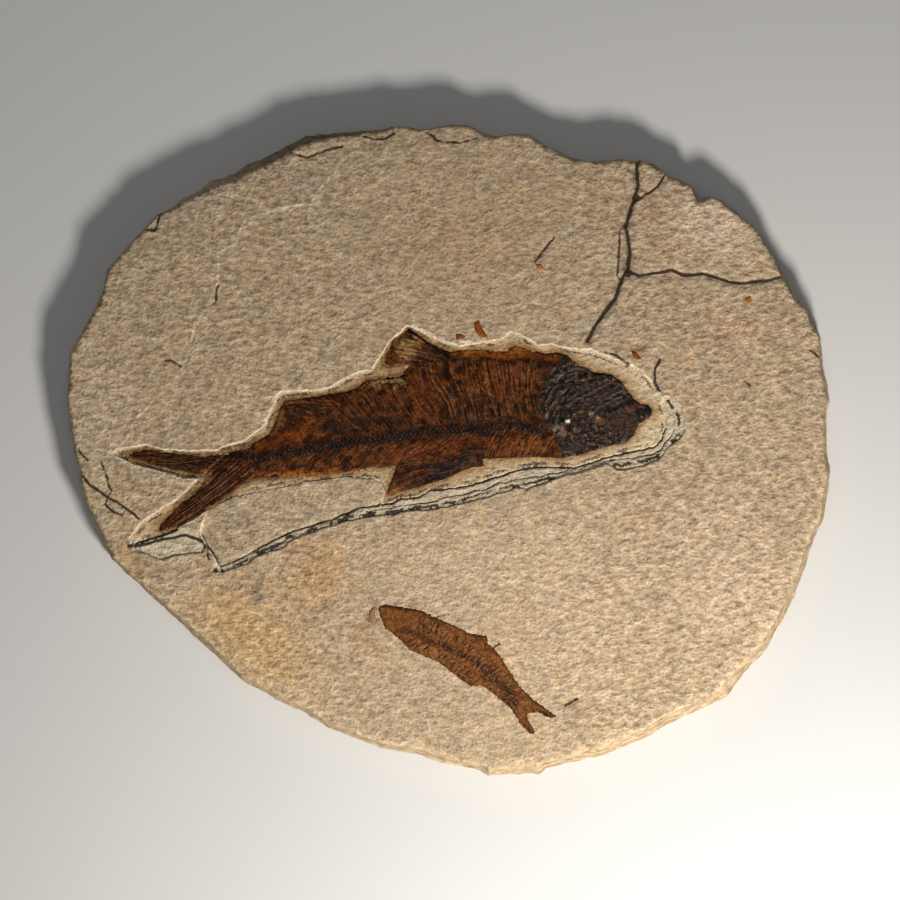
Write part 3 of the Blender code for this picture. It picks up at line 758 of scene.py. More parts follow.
def stone_points(rim):
    """The upper face's inner points: rows along its lines, and a lattice that is closer on worked stone."""
    corner, far = rim.min(axis=0) - 2, rim.max(axis=0) + 2
    seam_lines = (*LAYER_SEAMS, *BANK_SEAMS)
    rows = beside(fish_ring, (-0.35, 0.15), None, True)
    groups = []
    for ring, warp in zip(LEDGES, LEDGE_WARPS):
        groups += [[beside(ring, (offset,), warp, True)] for offset in (0.36, 0.0, -0.34)]
    groups.append([beside(shelf_ring, (0.95,), finely, True), beside(outer_ring, (-0.9,), coarsely, True)])
    groups.append([beside(plot(crack[0]), (0,), wandering) for crack in CRACKS])
    sides = [beside(plot(line), (-wide - 0.4, wide + 0.4), wandering) for line, wide, _, _ in CRACKS]
    sides += [beside(plot(line), (-wide, wide), wandering) for line, wide, _, _ in CRACKS if wide > 0.15]
    groups.append(sides)
    groups += [[beside(line, offsets, raggedly) for line in seam_lines] for offsets in ((0,), (-0.4, 0.4))]
    groups.append([beside(plot(line), (0, -0.42, 0.42), wandering) for line in (*PALE_VEINS, *HAIRLINES)])
    groups.append([beside(ring, (-0.35, 0.2, 0.7), None, True) for ring in little_rings])
    groups.append([plot(spot) + PIT_POINTS for spot in PITS])
    for group in groups:
        rows = np.concatenate([rows, apart(np.concatenate(group), rows, 0.25)])

    close = lattice(corner, far, WORKED_SPACING, 0.22, 10)
    box_low, box_high = outer_ring.min(axis=0) - 1, outer_ring.max(axis=0) + 1
    close = close[((close > box_low) & (close < box_high)).all(axis=1)]
    covered = depth_inside(close, fish_ring, 5)
    worked = inside(close, outer_ring) & (~inside(close, shelf_ring) | inside(close, hollow_ring))
    close = apart(close[worked & (covered <= 1.2)], rows, 0.4)
    wide = apart(lattice(corner, far, OPEN_SPACING, 0.24, 6), np.concatenate([rows, close]), 0.85)
    wide = wide[depth_inside(wide, fish_ring, 5) <= 0]
    deep = lattice(corner, far, HIDDEN_SPACING, 0.2, 7)
    deep = deep[depth_inside(deep, fish_ring, 6) > 2.2]
    rows = rows[depth_inside(rows, fish_ring, 3) < 1.3]
    points = np.concatenate([rows, close, wide, deep])
    return points[depth_inside(points, rim, 3) > 0.5]


def stone_slab():
    """The slab's rock: its upper face, its wall in rings of points, and its underside."""
    round_once = np.hypot(*np.diff(np.vstack([silhouette, silhouette[:1]]), axis=0).T).sum()
    outline = divided(silhouette, round_once / WALL_POINTS, True)
    count = len(outline)
    inward = normals(outline)
    for _ in range(3):
        inward = (np.roll(inward, 1, axis=0) + 2 * inward + np.roll(inward, -1, axis=0)) / 4
    inward /= np.hypot(*inward.T)[:, None]
    steep = 1 - 0.65 * smooth((-outline[:, 0] - 110) / 50)
    probe = outline - 0.01 * inward
    insets = [-depth_inside(probe, sections("stone_slab", z)[0]) for z in CAD_WALL_HEIGHTS]
    insets = np.array(insets).clip(0)
    along = np.arange(count) * 2 * np.pi / count
    ring_x, ring_y = 190 * np.cos(along), 190 * np.sin(along)
    bearing = np.degrees(np.arctan2(outline[:, 1], outline[:, 0])) % 360
    north = smooth(1 - abs(bearing - 112) / 26)

    def at(z):
        """The wall's ring at a height, chipped and layered."""
        rise = 0.35 * waves(ring_x / 14, ring_y / 14, 90)
        layer = np.floor((z + rise) / 1.25)
        shelves = waves(ring_x / 6 + 7.3 * layer, ring_y / 6 - 3.1 * layer, 91)
        chips = waves(ring_x / 2.6 + 2.9 * z, ring_y / 2.6 + 1.7 * z, 92)
        scoops = waves(ring_x / 11, ring_y / 11 + z / 9, 93)
        inset = np.array([np.interp(z, CAD_WALL_HEIGHTS, column) for column in insets.T])
        free = smooth(z / 1.5) if z < 15 else 1
        inset = inset * steep
        rough = 0.32 * shelves * (1 + 1.1 * north) + 0.26 * chips * (1 + north) + 0.3 * scoops
        return outline + (inset + free * (0.35 + rough)).clip(0)[:, None] * inward, shelves, chips

    rim, _, _ = at(RIM_HEIGHT)
    inner = stone_points(rim)
    flat, triangles = filled(rim, inner)
    height, colours, face_masks = stone_face(flat)
    lip = np.exp(-distance(flat, rim, True, 6) / 0.8)
    height = height - RIM_DROP * lip * (1 + 0.8 * waves(flat[:, 0] / 3, flat[:, 1] / 3, 95))
    # The upper face paler towards its rim; the extra paleness on the south side, which faces the light, is painted
    # light.
    south = smooth((-flat[:, 1] + 60) / 120)
    edge = np.exp(-distance(flat, rim, True, 8) / 2.2)
    colours = paint(colours, (CREAM, 0.45 * edge * (0.4 + 0.6 * south)))
    top = np.column_stack([flat, height])
    rings, tones = [top], [colours]
    for z in WALL_HEIGHTS:
        ring, shelves, chips = at(z)
        rows = np.full(count, z) + (0.22 * waves(ring_x / 5, ring_y / 5, 96) if 0.7 < z < 15.2 else 0)
        rings.append(np.column_stack([ring, rows]))
        tone = paint(
            plain((198, 174, 140), count),
            (CREAM, 0.5 * smooth(shelves * 1.4)),
            ((150, 122, 90), 0.75 * smooth(-shelves * 1.5 - 0.1)),
            ((172, 128, 82), 0.5 * smooth(waves(ring_x / 20, ring_y / 20 + z / 3, 97))),
            # Painted shade: the north-facing part of the wall darkened, as it faces away from the light.
            (NORTH_WALL_SHADE, 0.8 * north * smooth(0.75 + 0.8 * chips + 0.5 * shelves)),
        )
        tones.append(tone)
    faces, last = walls(len(top), count, len(WALL_HEIGHTS))
    base_ring = rings[-1][:, :2]
    base_inner = lattice(base_ring.min(axis=0), base_ring.max(axis=0), HIDDEN_SPACING, 0.2, 8)
    base_inner = base_inner[depth_inside(base_inner, base_ring, 8) > 3]
    base_flat, base_triangles = filled(base_ring, base_inner)
    extra = base_flat[count:]
    hollows = 0.35 * smooth(0.5 + waves(extra[:, 0] / 19, extra[:, 1] / 19, 98))
    hollows *= smooth(depth_inside(extra, base_ring, 20) / 12)
    start = sum(len(ring) for ring in rings)
    number = np.concatenate([last, start + np.arange(len(extra))])
    rings.append(np.column_stack([extra, hollows]))
    darker = 0.6 * smooth(waves(extra[:, 0] / 23, extra[:, 1] / 23, 99))
    tones.append(paint(plain((184, 160, 128), len(extra)), ((160, 134, 100), darker)))
    faces += number[np.array(base_triangles)[:, ::-1]].tolist()
    points = np.concatenate(rings)
    rest = {"fresh": 0.5, "shade_and_crack_lines": 0.0, "pale": 0.0}
    masks = {mask: np.full(len(points), rest[mask]) for mask in rest}
    for mask, values in face_masks.items():
        masks[mask][: len(top)] = values
    masks["side"] = np.zeros(len(points))
    masks["side"][len(top) : len(points) - len(extra)] = 1
    tones = np.concatenate(tones)
    obj = mesh_object("slab_stone", points, triangles + faces, tones, masks, limestone())
    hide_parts("stone_slab")


# ---- Bones ----


def fan_place(points, fan):
    """Where the points lie in a fan: the share from its first bone to its last, and the share along them."""
    root_a, tip_a, root_b, tip_b = (plot(corner) for corner in fan)
    base, first, skew = root_b - root_a, tip_a - root_a, root_a - root_b - tip_a + tip_b
    away = points - root_a

    def cross(p, q):
        return p[..., 0] * q[..., 1] - p[..., 1] * q[..., 0]

    # The share along the bones is a root of a quadratic, and the root nearer the fan's middle is taken.
    squared = cross(skew, first) if abs(cross(skew, first)) > 1e-6 else 1e-6
    single = cross(base, first) + cross(away, skew)
    root = np.sqrt(np.maximum(single * single - 4 * cross(away, base) * squared, 0))
    best_u, best_v = np.full(len(points), 9.0), np.full(len(points), 9.0)
    for sign in (-1, 1):
        v = (-single + sign * root) / (2 * squared)
        low_x = base[0] + skew[0] * v
        low_y = base[1] + skew[1] * v
        use_x = abs(low_x) > abs(low_y)
        u = np.where(
            use_x,
            (away[:, 0] - first[0] * v) / np.where(use_x, low_x, 1),
            (away[:, 1] - first[1] * v) / np.where(use_x, 1, np.where(low_y == 0, 1e-9, low_y)),
        )
        better = abs(u - 0.5) + abs(v - 0.5) < abs(best_u - 0.5) + abs(best_v - 0.5)
        best_u, best_v = np.where(better, u, best_u), np.where(better, v, best_v)
    return best_u, best_v


def fan_cover(u, v):
    """1 inside a fan, falling to 0 outside it."""
    return smooth((0.5 - abs(u - 0.5)) / 0.06 + 0.6) * smooth((0.5 - abs(v - 0.5)) / 0.1 + 0.3)


def rays(points, fan, count, jitter, seed, bow=0.0):
    """Bright threads and dark gaps along a fan's bones."""
    u, v = fan_place(points, fan)
    cover = fan_cover(u, v)
    wobble = jitter * waves(u * count * 0.45 + 20, v * 0.8, seed) + 0.1 * waves(u * count, v * 5, seed + 50)
    phase = u * count + wobble + bow * v * (1 - v) * 4
    bone_number = np.round(phase)
    strength = smooth(0.55 + 1.1 * waves(bone_number * 0.71 + 0.3, v * 2 + 0.37 * bone_number, seed + 1))
    threads = np.clip(np.cos(2 * np.pi * phase), 0, 1) ** 4 * strength
    gap_number = np.floor(phase)
    depth = smooth(0.7 + 1.0 * waves(gap_number * 0.63 + 0.2, v * 2 - 0.41 * gap_number, seed + 2))
    gaps = np.clip(-np.cos(2 * np.pi * phase), 0, 1) ** 1.5 * depth
    return threads * cover, gaps * cover


def strands(points, fans, strand, cover, share, wobble, stretch, seed):
    """How the material's fine fibres run at each point, and how much they show, fans over the rest."""
    for n, (fan, count, strength) in enumerate(fans):
        u, v = fan_place(points, fan)
        here = strength * fan_cover(u, v) * share
        across = u * count + wobble * waves(u * count * 0.4, v * stretch[0], seed + n)
        place = np.column_stack([across, v * stretch[1], np.full(len(u), 10.0 * n)])
        strand = np.where((here > cover)[:, None], place, strand)
        cover = np.maximum(cover, here)
    return strand, cover


# Fans of bones: the first bone's root and tip, then the last bone's.
UPPER_RIBS_WEST = ((345, 436), (300, 398), (452, 424), (424, 358))
UPPER_RIBS_EAST = ((452, 424), (424, 358), (541, 415), (538, 358))
LOWER_HATCH = ((258, 458), (236, 482), (468, 432), (428, 470))
CHEST_HATCH = ((500, 424), (480, 458), (560, 436), (545, 458))
SHOULDER_HATCH = ((470, 400), (500, 428), (520, 395), (552, 425))
UPPER_LOBE = ((252, 447), (126, 451), (246, 474), (150, 470))
LOWER_LOBE = ((226, 452), (152, 522), (262, 474), (174, 532))
PELVIC_FIN = ((488, 447), (398, 464), (484, 468), (384, 498))
DORSAL_FIN = ((452, 354), (407, 326), (440, 368), (382, 370))
BACK_REMNANT = ((336, 398), (284, 399), (322, 424), (284, 414))
SNOUT_STREAKS = ((580, 396), (622, 368), (604, 416), (648, 396))
LOWER_JAW_STREAKS = ((560, 452), (634, 428), (580, 462), (640, 440))
# Each fan's fibres and how strongly they show. Then its bones: how many, jitter, seed, the threads' colour
# and strength, the gaps' colour and strength, relief and bow.
FISH_FANS = [
    (UPPER_RIBS_WEST, 30, 0.8, 34, 0.8, 140, (150, 104, 62), 0.35, (20, 13, 11), 0.85, 0.16, 0.8),
    (UPPER_RIBS_EAST, 22, 1.0, 25, 0.8, 142, (168, 130, 84), 0.4, (16, 11, 10), 1.0, 0.22, 0.6),
    (LOWER_HATCH, 52, 0.75, 58, 1.0, 144, (138, 92, 54), 0.6, (26, 16, 13), 0.65, 0.14, 1.4),
    (CHEST_HATCH, 18, 0.9, 22, 0.7, 146, (168, 104, 48), 0.75, (34, 19, 13), 0.75, 0.14, 0.4),
    (SHOULDER_HATCH, 14, 0.7, 17, 0.8, 148, (128, 78, 40), 0.5, (26, 16, 13), 0.55, 0.1, 0.4),
    (UPPER_LOBE, 9, 1.0, 11, 0.6, 150, (122, 74, 40), 0.8, (17, 12, 11), 1.0, 0.28, 0.3),
    (LOWER_LOBE, 8, 1.0, 9, 0.4, 152, (176, 116, 64), 0.85, (20, 14, 12), 1.0, 0.3, -0.2),
    (PELVIC_FIN, 12, 1.0, 14, 0.5, 154, (104, 92, 86), 0.65, (13, 11, 13), 0.9, 0.24, 0.3),
    (DORSAL_FIN, 7, 0.9, 9, 0.5, 156, (182, 140, 86), 0.4, (80, 38, 20), 0.9, 0.12, 0.3),
    (BACK_REMNANT, 8, 0.9, 9, 0.5, 158, (156, 112, 62), 0.5, (26, 17, 14), 0.9, 0.14, 0.6),
]
HEAD_FANS = [  # a fan, its bones, seed, the threads' colour and how strongly they show
    (SNOUT_STREAKS, 6, 190, (128, 112, 98), 0.55),
    (LOWER_JAW_STREAKS, 5, 192, (112, 94, 82), 0.4),
]
HEAD_MIDDLE = (597, 405)
HEAD_REACH = (29, 22)  # in millimetres
EYE = (560, 419)
EYE_REACH = (7, 5)
BEAD_STEP = 2.3  # along the spine, in millimetres
GILL_CENTRE = (603, 437)
GILL_RADII = (74, 68, 61, 54, 46)
HEAD_SIDE = [
    (566, 352), (550, 368), (541, 384), (537, 400), (540, 416), (548, 430), (556, 440), (561, 462),
    (700, 470), (700, 340),
]  # fmt: skip
SPINE = [
    (556, 437), (546, 432), (530, 429), (512, 426), (497, 427), (482, 431), (445, 431), (425, 432),
    (405, 435), (385, 438), (365, 440), (350, 442), (335, 446), (318, 449), (300, 452), (284, 455),
    (268, 458), (252, 461), (236, 465),
]  # fmt: skip
LEADING_RAY = [(409, 329), (420, 337), (432, 345), (440, 351), (448, 357)]
FIN_SHADOW = [(383, 378), (392, 377), (403, 375)]
MOUTH = [(598, 411), (612, 410), (626, 405), (640, 402)]
FISH_PATCHES = [
    ((185, 462), (62, 16), -6, (58, 36, 20), 0.8),
    ((205, 492), (48, 18), 40, (64, 40, 24), 0.7),
    ((560, 400), (36, 50), 0, (52, 33, 22), 0.5),
    ((497, 354), (55, 6), 0, ORANGE, 0.7),
    ((470, 350), (26, 4), 0, GOLD, 0.6),
    ((545, 356), (22, 5), -10, RUST, 0.7),
    ((300, 432), (34, 9), 22, (130, 64, 22), 0.75),
    ((262, 448), (18, 5), 25, (126, 66, 26), 0.5),
    ((355, 424), (60, 6), 6, BLUE_BLACK, 0.65),
    ((470, 417), (60, 5), 0, (58, 38, 28), 0.5),
    ((420, 400), (70, 10), 0, (110, 56, 24), 0.45),
    ((345, 400), (34, 6), 8, RUST, 0.5),
    ((500, 380), (50, 22), 0, (124, 64, 26), 0.6),
    ((415, 385), (40, 14), 0, (116, 58, 24), 0.6),
    ((420, 450), (60, 8), 8, (122, 60, 24), 0.7),
    ((325, 473), (85, 4.5), 2, ORANGE, 0.95),
    ((290, 475), (44, 2.5), 1, (190, 122, 48), 0.5),
    ((400, 460), (40, 5), 6, (128, 66, 28), 0.6),
    ((206, 476), (9, 7), 0, (170, 122, 66), 0.8),
    ((152, 463), (26, 4), -10, (118, 66, 30), 0.7),
    ((178, 505), (26, 4), 45, (140, 82, 40), 0.7),
    ((128, 455), (16, 5), 0, (26, 20, 22), 0.9),
    ((240, 455), (34, 9), -5, (34, 24, 18), 0.85),
    ((190, 455), (40, 4), 0, (26, 18, 14), 0.7),
    ((448, 470), (46, 9), 24, (34, 31, 35), 0.85),
    ((393, 487), (9, 9), 0, (150, 92, 46), 0.85),
    ((528, 447), (32, 10), 0, (124, 70, 30), 0.8),
    ((406, 348), (17, 14), 0, MEMBRANE, 0.95),
    ((425, 338), (16, 7), -38, (176, 140, 90), 0.9),
    ((398, 366), (22, 7), 0, (120, 62, 30), 0.8),
    ((386, 383), (26, 4), 3, (196, 160, 104), 0.85),
    ((372, 388), (16, 4), 15, (150, 96, 48), 0.6),
    ((286, 402), (12, 5), 0, (150, 108, 58), 0.8),
    ((280, 418), (7, 14), 10, (146, 98, 48), 0.7),
    ((516, 350), (12, 4), 0, GOLD, 0.6),
]
HEAD_PATCHES = [
    ((600, 405), (40, 30), 0, (56, 46, 40), 0.5),
    ((622, 425), (22, 14), 0, (60, 42, 32), 0.7),
    ((628, 383), (18, 4), -48, (126, 76, 42), 0.75),
    ((575, 445), (18, 10), 0, (46, 38, 34), 0.6),
    ((557, 428), (10, 5), 0, (118, 100, 84), 0.75),
    ((563, 433), (5, 5), 0, (138, 104, 88), 0.6),
    ((560, 419), (6, 4), 0, (14, 12, 12), 0.95),
    # a painted highlight, near white, beside the eye
    ((568, 421), (3.2, 2.4), -20, (226, 218, 206), 0.95),
    ((591, 414), (3.6, 2.6), 0, (166, 128, 84), 0.75),
    ((598, 418), (3.0, 2.2), -40, (178, 140, 96), 0.7),
    ((600, 422), (7, 5), 0, (98, 64, 38), 0.6),
    ((649, 411), (8, 7), 0, (18, 15, 15), 0.95),
    ((630, 409), (8, 5), 0, (110, 70, 40), 0.5),
    ((602, 374), (14, 3), 5, (16, 12, 12), 0.9),
    ((565, 357), (16, 5), -20, (28, 20, 18), 0.8),
]


def spine_place(points):
    """The distance along the spine from the head, and the distance off it, positive on the fin side."""
    line = plot(SPINE)
    best = np.full(len(points), np.inf)
    along, off = np.zeros(len(points)), np.zeros(len(points))
    passed = 0.0
    for start, end in zip(line, line[1:]):
        way = end - start
        length = float(np.hypot(*way))
        share = np.clip((points - start) @ way / length**2, 0, 1)
        away = points - start - share[:, None] * way
        gap = np.hypot(*away.T)
        side = np.where(way[0] * away[:, 1] - way[1] * away[:, 0] > 0, -1, 1)
        better = gap < best
        best = np.where(better, gap, best)
        along = np.where(better, passed + share * length, along)
        off = np.where(better, side * gap, off)
        passed += length
    return along, off


def stroke(points, line, half_width):
    """1 along a line, falling to 0 at its half width."""
    return smooth(1.2 - distance(points, plot(line), reach=6) / half_width)


def head_face(points, wander, grit, coarse_grit, blotch):
    """The large fish's head: its share of each point, its thickness and colour, and how its fibres run."""
    x, y = points.T
    head = depth_inside(ragged(points, ((5, 0.8), (1.8, 0.5)), 160), plot(HEAD_SIDE), 20)
    head = smooth(head / 0.9 + 0.2)
    lumps = waves(x / 2.4, y / 1.9, 166)
    colours = paint(
        plain(CHARCOAL, len(points)),
        ((20, 16, 15), 0.85 * smooth(0.3 + 0.9 * blotch - 0.5 * lumps)),
        ((84, 64, 50), 0.75 * smooth(lumps * 1.2 - 0.1)),
        ((138, 120, 104), 0.6 * smooth(grit * 1.8 + 0.5 * lumps - 0.5)),
    )
    colours = daubed(colours, ragged(points, ((3, 0.5), (1.2, 0.3)), 165), HEAD_PATCHES, 0.55)
    dome = np.maximum(0, 1 - (((points - plot(HEAD_MIDDLE)) / HEAD_REACH) ** 2).sum(axis=1))
    thick = 0.45 * dome + 0.2 * lumps + 0.12 * coarse_grit + 0.1 * blotch

    # The gill's arcs, each with a groove inside it.
    from_gill = points - plot(GILL_CENTRE)
    radius = np.hypot(*from_gill.T) / GRID
    bearing = np.degrees(np.arctan2(from_gill[:, 1], from_gill[:, 0]))
    arc_side = smooth((bearing - 95) / 15) * smooth((188 - bearing) / 22)
    for n, gill_radius in enumerate(GILL_RADII):
        swing = gill_radius + 2.4 * waves(bearing / 14, bearing * 0 + n, 170 + n) + 0.8 * coarse_grit
        broken = smooth(0.45 + 1.3 * waves(bearing / 11, bearing * 0 + 3.0 * n, 180 + n))
        arc = np.exp(-(((radius - swing) / 1.1) ** 2)) * arc_side * broken
        groove = np.exp(-(((radius - swing + 3) / 1.6) ** 2)) * arc_side * (0.3 + 0.7 * broken)
        thick += 0.16 * arc - 0.14 * groove
        pale_arc = (0.5 - 0.06 * n) * arc * smooth(0.6 + grit)
        colours = paint(colours, ((124, 110, 96), pale_arc), ((13, 11, 11), 0.7 * groove))

    for fan, count, seed, shade, strength in HEAD_FANS:
        threads, gaps = rays(wander, fan, count, 0.5, seed)
        thick += 0.14 * threads - 0.1 * gaps
        colours = paint(colours, ((18, 15, 15), 0.5 * gaps), (shade, strength * threads))
    mouth = stroke(wander, MOUTH, 0.7)
    colours = paint(colours, ((10, 8, 8), 0.85 * mouth))
    thick -= 0.2 * mouth
    thick -= 0.35 * daub(points, EYE, EYE_REACH, 0, 0.8)
    colours = colours * 1.35 + 0.01 * smooth(0.4 + 1.2 * lumps)[:, None]
    strand = np.column_stack([radius / 5.5, bearing / 26, np.full(len(points), 200.0)])
    return head, thick, colours, strand, 0.75 * arc_side + 0.2


def fish_face(points):
    """The large fish's thickness and colour at the points, how glossy it is and how its fibres run."""
    edge = np.maximum(depth_inside(points, fish_ring, 60), 0)
    along, off = spine_place(points)
    x, y = points.T
    grit = waves(x / 0.8, y / 0.8, 110)
    coarse_grit = waves(x / 1.5, y / 1.5, 111)
    blotch = waves(x / 4.5, y / 3.2, 112)
    cloud = grain(points, 8, 22, 6, 113)
    wander = ragged(points, ((16, 1.2), (3, 0.12)), 120)

    thick = 0.32 + 1.05 * (1 - np.exp(-edge / 5)) + 0.08 * grit + 0.07 * coarse_grit + 0.1 * blotch
    colours = paint(
        plain(DARK_RUST, len(points)),
        (RUST, smooth(0.4 + 0.9 * blotch + 0.5 * cloud)),
        ((30, 20, 16), 0.8 * smooth(-0.1 + 0.8 * cloud - 0.8 * blotch)),
    )
    colours = daubed(colours, ragged(points, ((6, 2.4), (2, 1.0)), 130), FISH_PATCHES, 0.6)

    # The dark band along the spine, its beads, and the short spines beside them.
    body = smooth((along - 1) / 8) * smooth((165 - along) / 20)
    band = np.exp(-(((off - 0.3) / (2.5 + 0.7 * cloud + 0.5 * blotch)) ** 4))
    beads = np.cos(2 * np.pi * along / BEAD_STEP)
    column = np.exp(-((off / 0.6) ** 2)) * body
    spines = np.clip(np.cos(2 * np.pi * (along - 0.9 * abs(off)) / BEAD_STEP), 0, 1) ** 4
    spines *= smooth(1 - abs(abs(off) - 1.7) / 1.5) * body
    thick += 0.2 * band * body + 0.12 * beads * column
    thick += 0.08 * spines
    colours = paint(
        colours,
        (BLUE_BLACK, 0.85 * smooth(1 - abs(off - 3.4) / 4) * smooth(0.4 + cloud + 0.5 * blotch) * body),
        (BLACK, 0.95 * band * body),
        ((86, 74, 62), 0.55 * column * smooth(beads)),
        ((96, 84, 70), 0.5 * spines),
    )

    for fan, _, _, count, jitter, seed, thread_colour, thread, gap_colour, gap, relief, bow in FISH_FANS:
        threads, gaps = rays(wander, fan, count, jitter, seed, bow)
        thick += relief * (threads - 0.5 * gaps)
        colours = paint(
            colours,
            (gap_colour, gap * gaps * smooth(0.8 + 0.5 * blotch)),
            (thread_colour, thread * threads * smooth(0.75 + 0.5 * coarse_grit)),
        )
    strand = np.column_stack([along / 1.5 + 0.5 * abs(off), off / 5, np.full(len(points), 90.0)])
    fans = [row[:3] for row in FISH_FANS]
    strand, cover = strands(wander, fans, strand, 0.3 * body, 1 - 0.8 * band * body, 0.9, (1.5, 2.2), 400)

    head, head_thick, head_colours, cheek, cheek_cover = head_face(points, wander, grit, coarse_grit, blotch)
    thick += head * head_thick
    colours = colours + (head_colours - colours) * head[:, None]
    strand = np.where((head > 0.5)[:, None], cheek, strand)
    cover = cover + (cheek_cover - cover) * head

    ray = stroke(points, LEADING_RAY, 0.85)
    fin_shadow = stroke(points, FIN_SHADOW, 0.9)
    thick += 0.3 * ray - 0.15 * fin_shadow
    glint = smooth(grit * 1.5 - 0.35) * smooth(0.4 + blotch) * (1 - 0.8 * head)
    colours = paint(
        colours,
        # Black: the leading ray's own bone, and a painted shadow under the fin.
        ((16, 12, 12), 0.95 * np.maximum(ray, fin_shadow)),
        ((176, 92, 26), 0.5 * glint),
        ((24, 15, 12), 0.6 * smooth(-coarse_grit * 1.6 - 0.25)),
    )
    colours *= np.clip(0.96 + 0.26 * coarse_grit + 0.24 * grit + 0.22 * blotch, 0.25, 1.8)[:, None]
    gloss = np.clip(0.5 + 0.5 * blotch + 0.3 * band * body, 0, 1)
    return thick, colours, {"gloss": gloss, "strand": strand, "strand_cover": cover}


def plate(name, ring, spacing, fray, surface, underside, material):
    """A thin fossil with a frayed edge, its top from the surface function and a flat underside."""
    outline = divided(ring, spacing, True)
    outline = outline + normals(outline) * fray(*outline.T)[:, None]
    inner = lattice(outline.min(axis=0), outline.max(axis=0), spacing, 0.25, 9)
    inner = inner[depth_inside(inner, outline, 2) > spacing * 0.5]
    flat, triangles = filled(outline, inner)
    height, colours, masks = surface(flat)
    count = len(outline)
    top = np.column_stack([flat, height])
    base = np.column_stack([outline, np.full(count, underside)])
    faces, last = walls(len(top), count, 1)
    base_flat, base_triangles = filled(outline, np.zeros((0, 2)))
    crossings = base_flat[count:]
    number = np.concatenate([last, len(top) + count + np.arange(len(crossings))])
    faces += number[np.array(base_triangles)[:, ::-1]].tolist()
    sunk = np.column_stack([crossings, np.full(len(crossings), underside)])
    points = np.concatenate([top, base, sunk])

    def extended(values):
        """The top's values, and what the underside takes from them."""
        return np.concatenate([values, values[:count], values[: len(sunk)]])

    masks = {mask: extended(values) for mask, values in masks.items()}
    return mesh_object(name, points, triangles + faces, extended(colours), masks, material)


def large_fish(material):
    """The large fish's bones in the hollow."""

    def fray(x, y):
        return 0.24 * waves(x / 2.2, y / 2.2, 100) + 0.12 * waves(x / 1.1, y / 1.1, 101)

    def surface(points):
        thick, colours, masks = fish_face(points)
        return HOLLOW + 0.32 + thick, colours, masks

    obj = plate("large_fish_bones", fish_ring, FISH_SPACING, fray, surface, HOLLOW + 0.1, material)
    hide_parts("large_fish")


SMALL_SPINE = [
    (404, 630), (416, 634), (430, 641), (445, 647), (458, 653), (470, 658), (480, 664), (490, 671),
    (498, 680), (505, 689), (514, 699),
]  # fmt: skip
SMALL_UPPER_RIBS = ((418, 632), (424, 610), (506, 688), (520, 684))
SMALL_LOWER_RIBS = ((418, 636), (402, 648), (504, 690), (494, 700))
SMALL_UPPER_LOBE = ((506, 686), (552, 712), (500, 696), (548, 722))
SMALL_LOWER_LOBE = ((512, 694), (538, 730), (500, 700), (528, 738))
SMALL_FANS = [  # a fan, its fibres, then its bones, seed, threads' colour and strength, gaps' strength
    (SMALL_UPPER_RIBS, 30, 34, 240, (176, 128, 82), 0.6, 0.75),
    (SMALL_LOWER_RIBS, 30, 34, 242, (170, 118, 70), 0.5, 0.7),
    (SMALL_UPPER_LOBE, 6, 6, 244, (140, 92, 56), 0.4, 0.5),
    (SMALL_LOWER_LOBE, 5, 5, 246, (150, 100, 60), 0.4, 0.5),
]
SMALL_PATCHES = [
    ((400, 620), (18, 10), -25, (128, 76, 36), 0.6),
    ((402, 608), (22, 4), -8, DARK_CHESTNUT, 0.85),
    ((432, 618), (16, 4), -28, (86, 50, 28), 0.6),
    ((424, 626), (5, 14), 20, (70, 44, 30), 0.6),
    ((398, 632), (5, 5), 0, (60, 38, 24), 0.6),
    ((405, 640), (14, 4), -32, (84, 52, 28), 0.5),
    ((440, 655), (20, 7), -30, PALE_CHESTNUT, 0.7),
    ((428, 650), (14, 4), -30, (176, 112, 54), 0.6),
    ((458, 638), (20, 6), -25, (146, 88, 48), 0.6),
    ((476, 636), (12, 4.5), -30, (70, 46, 36), 0.85),
    ((488, 648), (12, 3), -48, (70, 42, 28), 0.6),
    ((462, 680), (17, 3.6), -30, (52, 32, 24), 0.9),
    ((497, 660), (14, 4), -52, (160, 96, 52), 0.6),
    ((474, 672), (12, 6), -35, (136, 78, 40), 0.6),
    ((506, 700), (10, 4), -45, (84, 46, 26), 0.6),
    ((526, 697), (6, 3), -45, (120, 90, 76), 0.5),
    ((519, 706), (5, 6), -45, (178, 124, 76), 0.7),
    ((545, 714), (12, 3.5), -32, (76, 44, 28), 0.8),
    ((531, 727), (6, 8), 20, (116, 70, 38), 0.8),
    ((488, 674), (20, 8), -42, (72, 44, 30), 0.8),
    ((512, 700), (14, 9), -50, (82, 50, 32), 0.8),
    ((392, 612), (8, 8), 0, (150, 94, 46), 0.5),
    ((450, 662), (14, 4), -32, (92, 54, 32), 0.7),
]


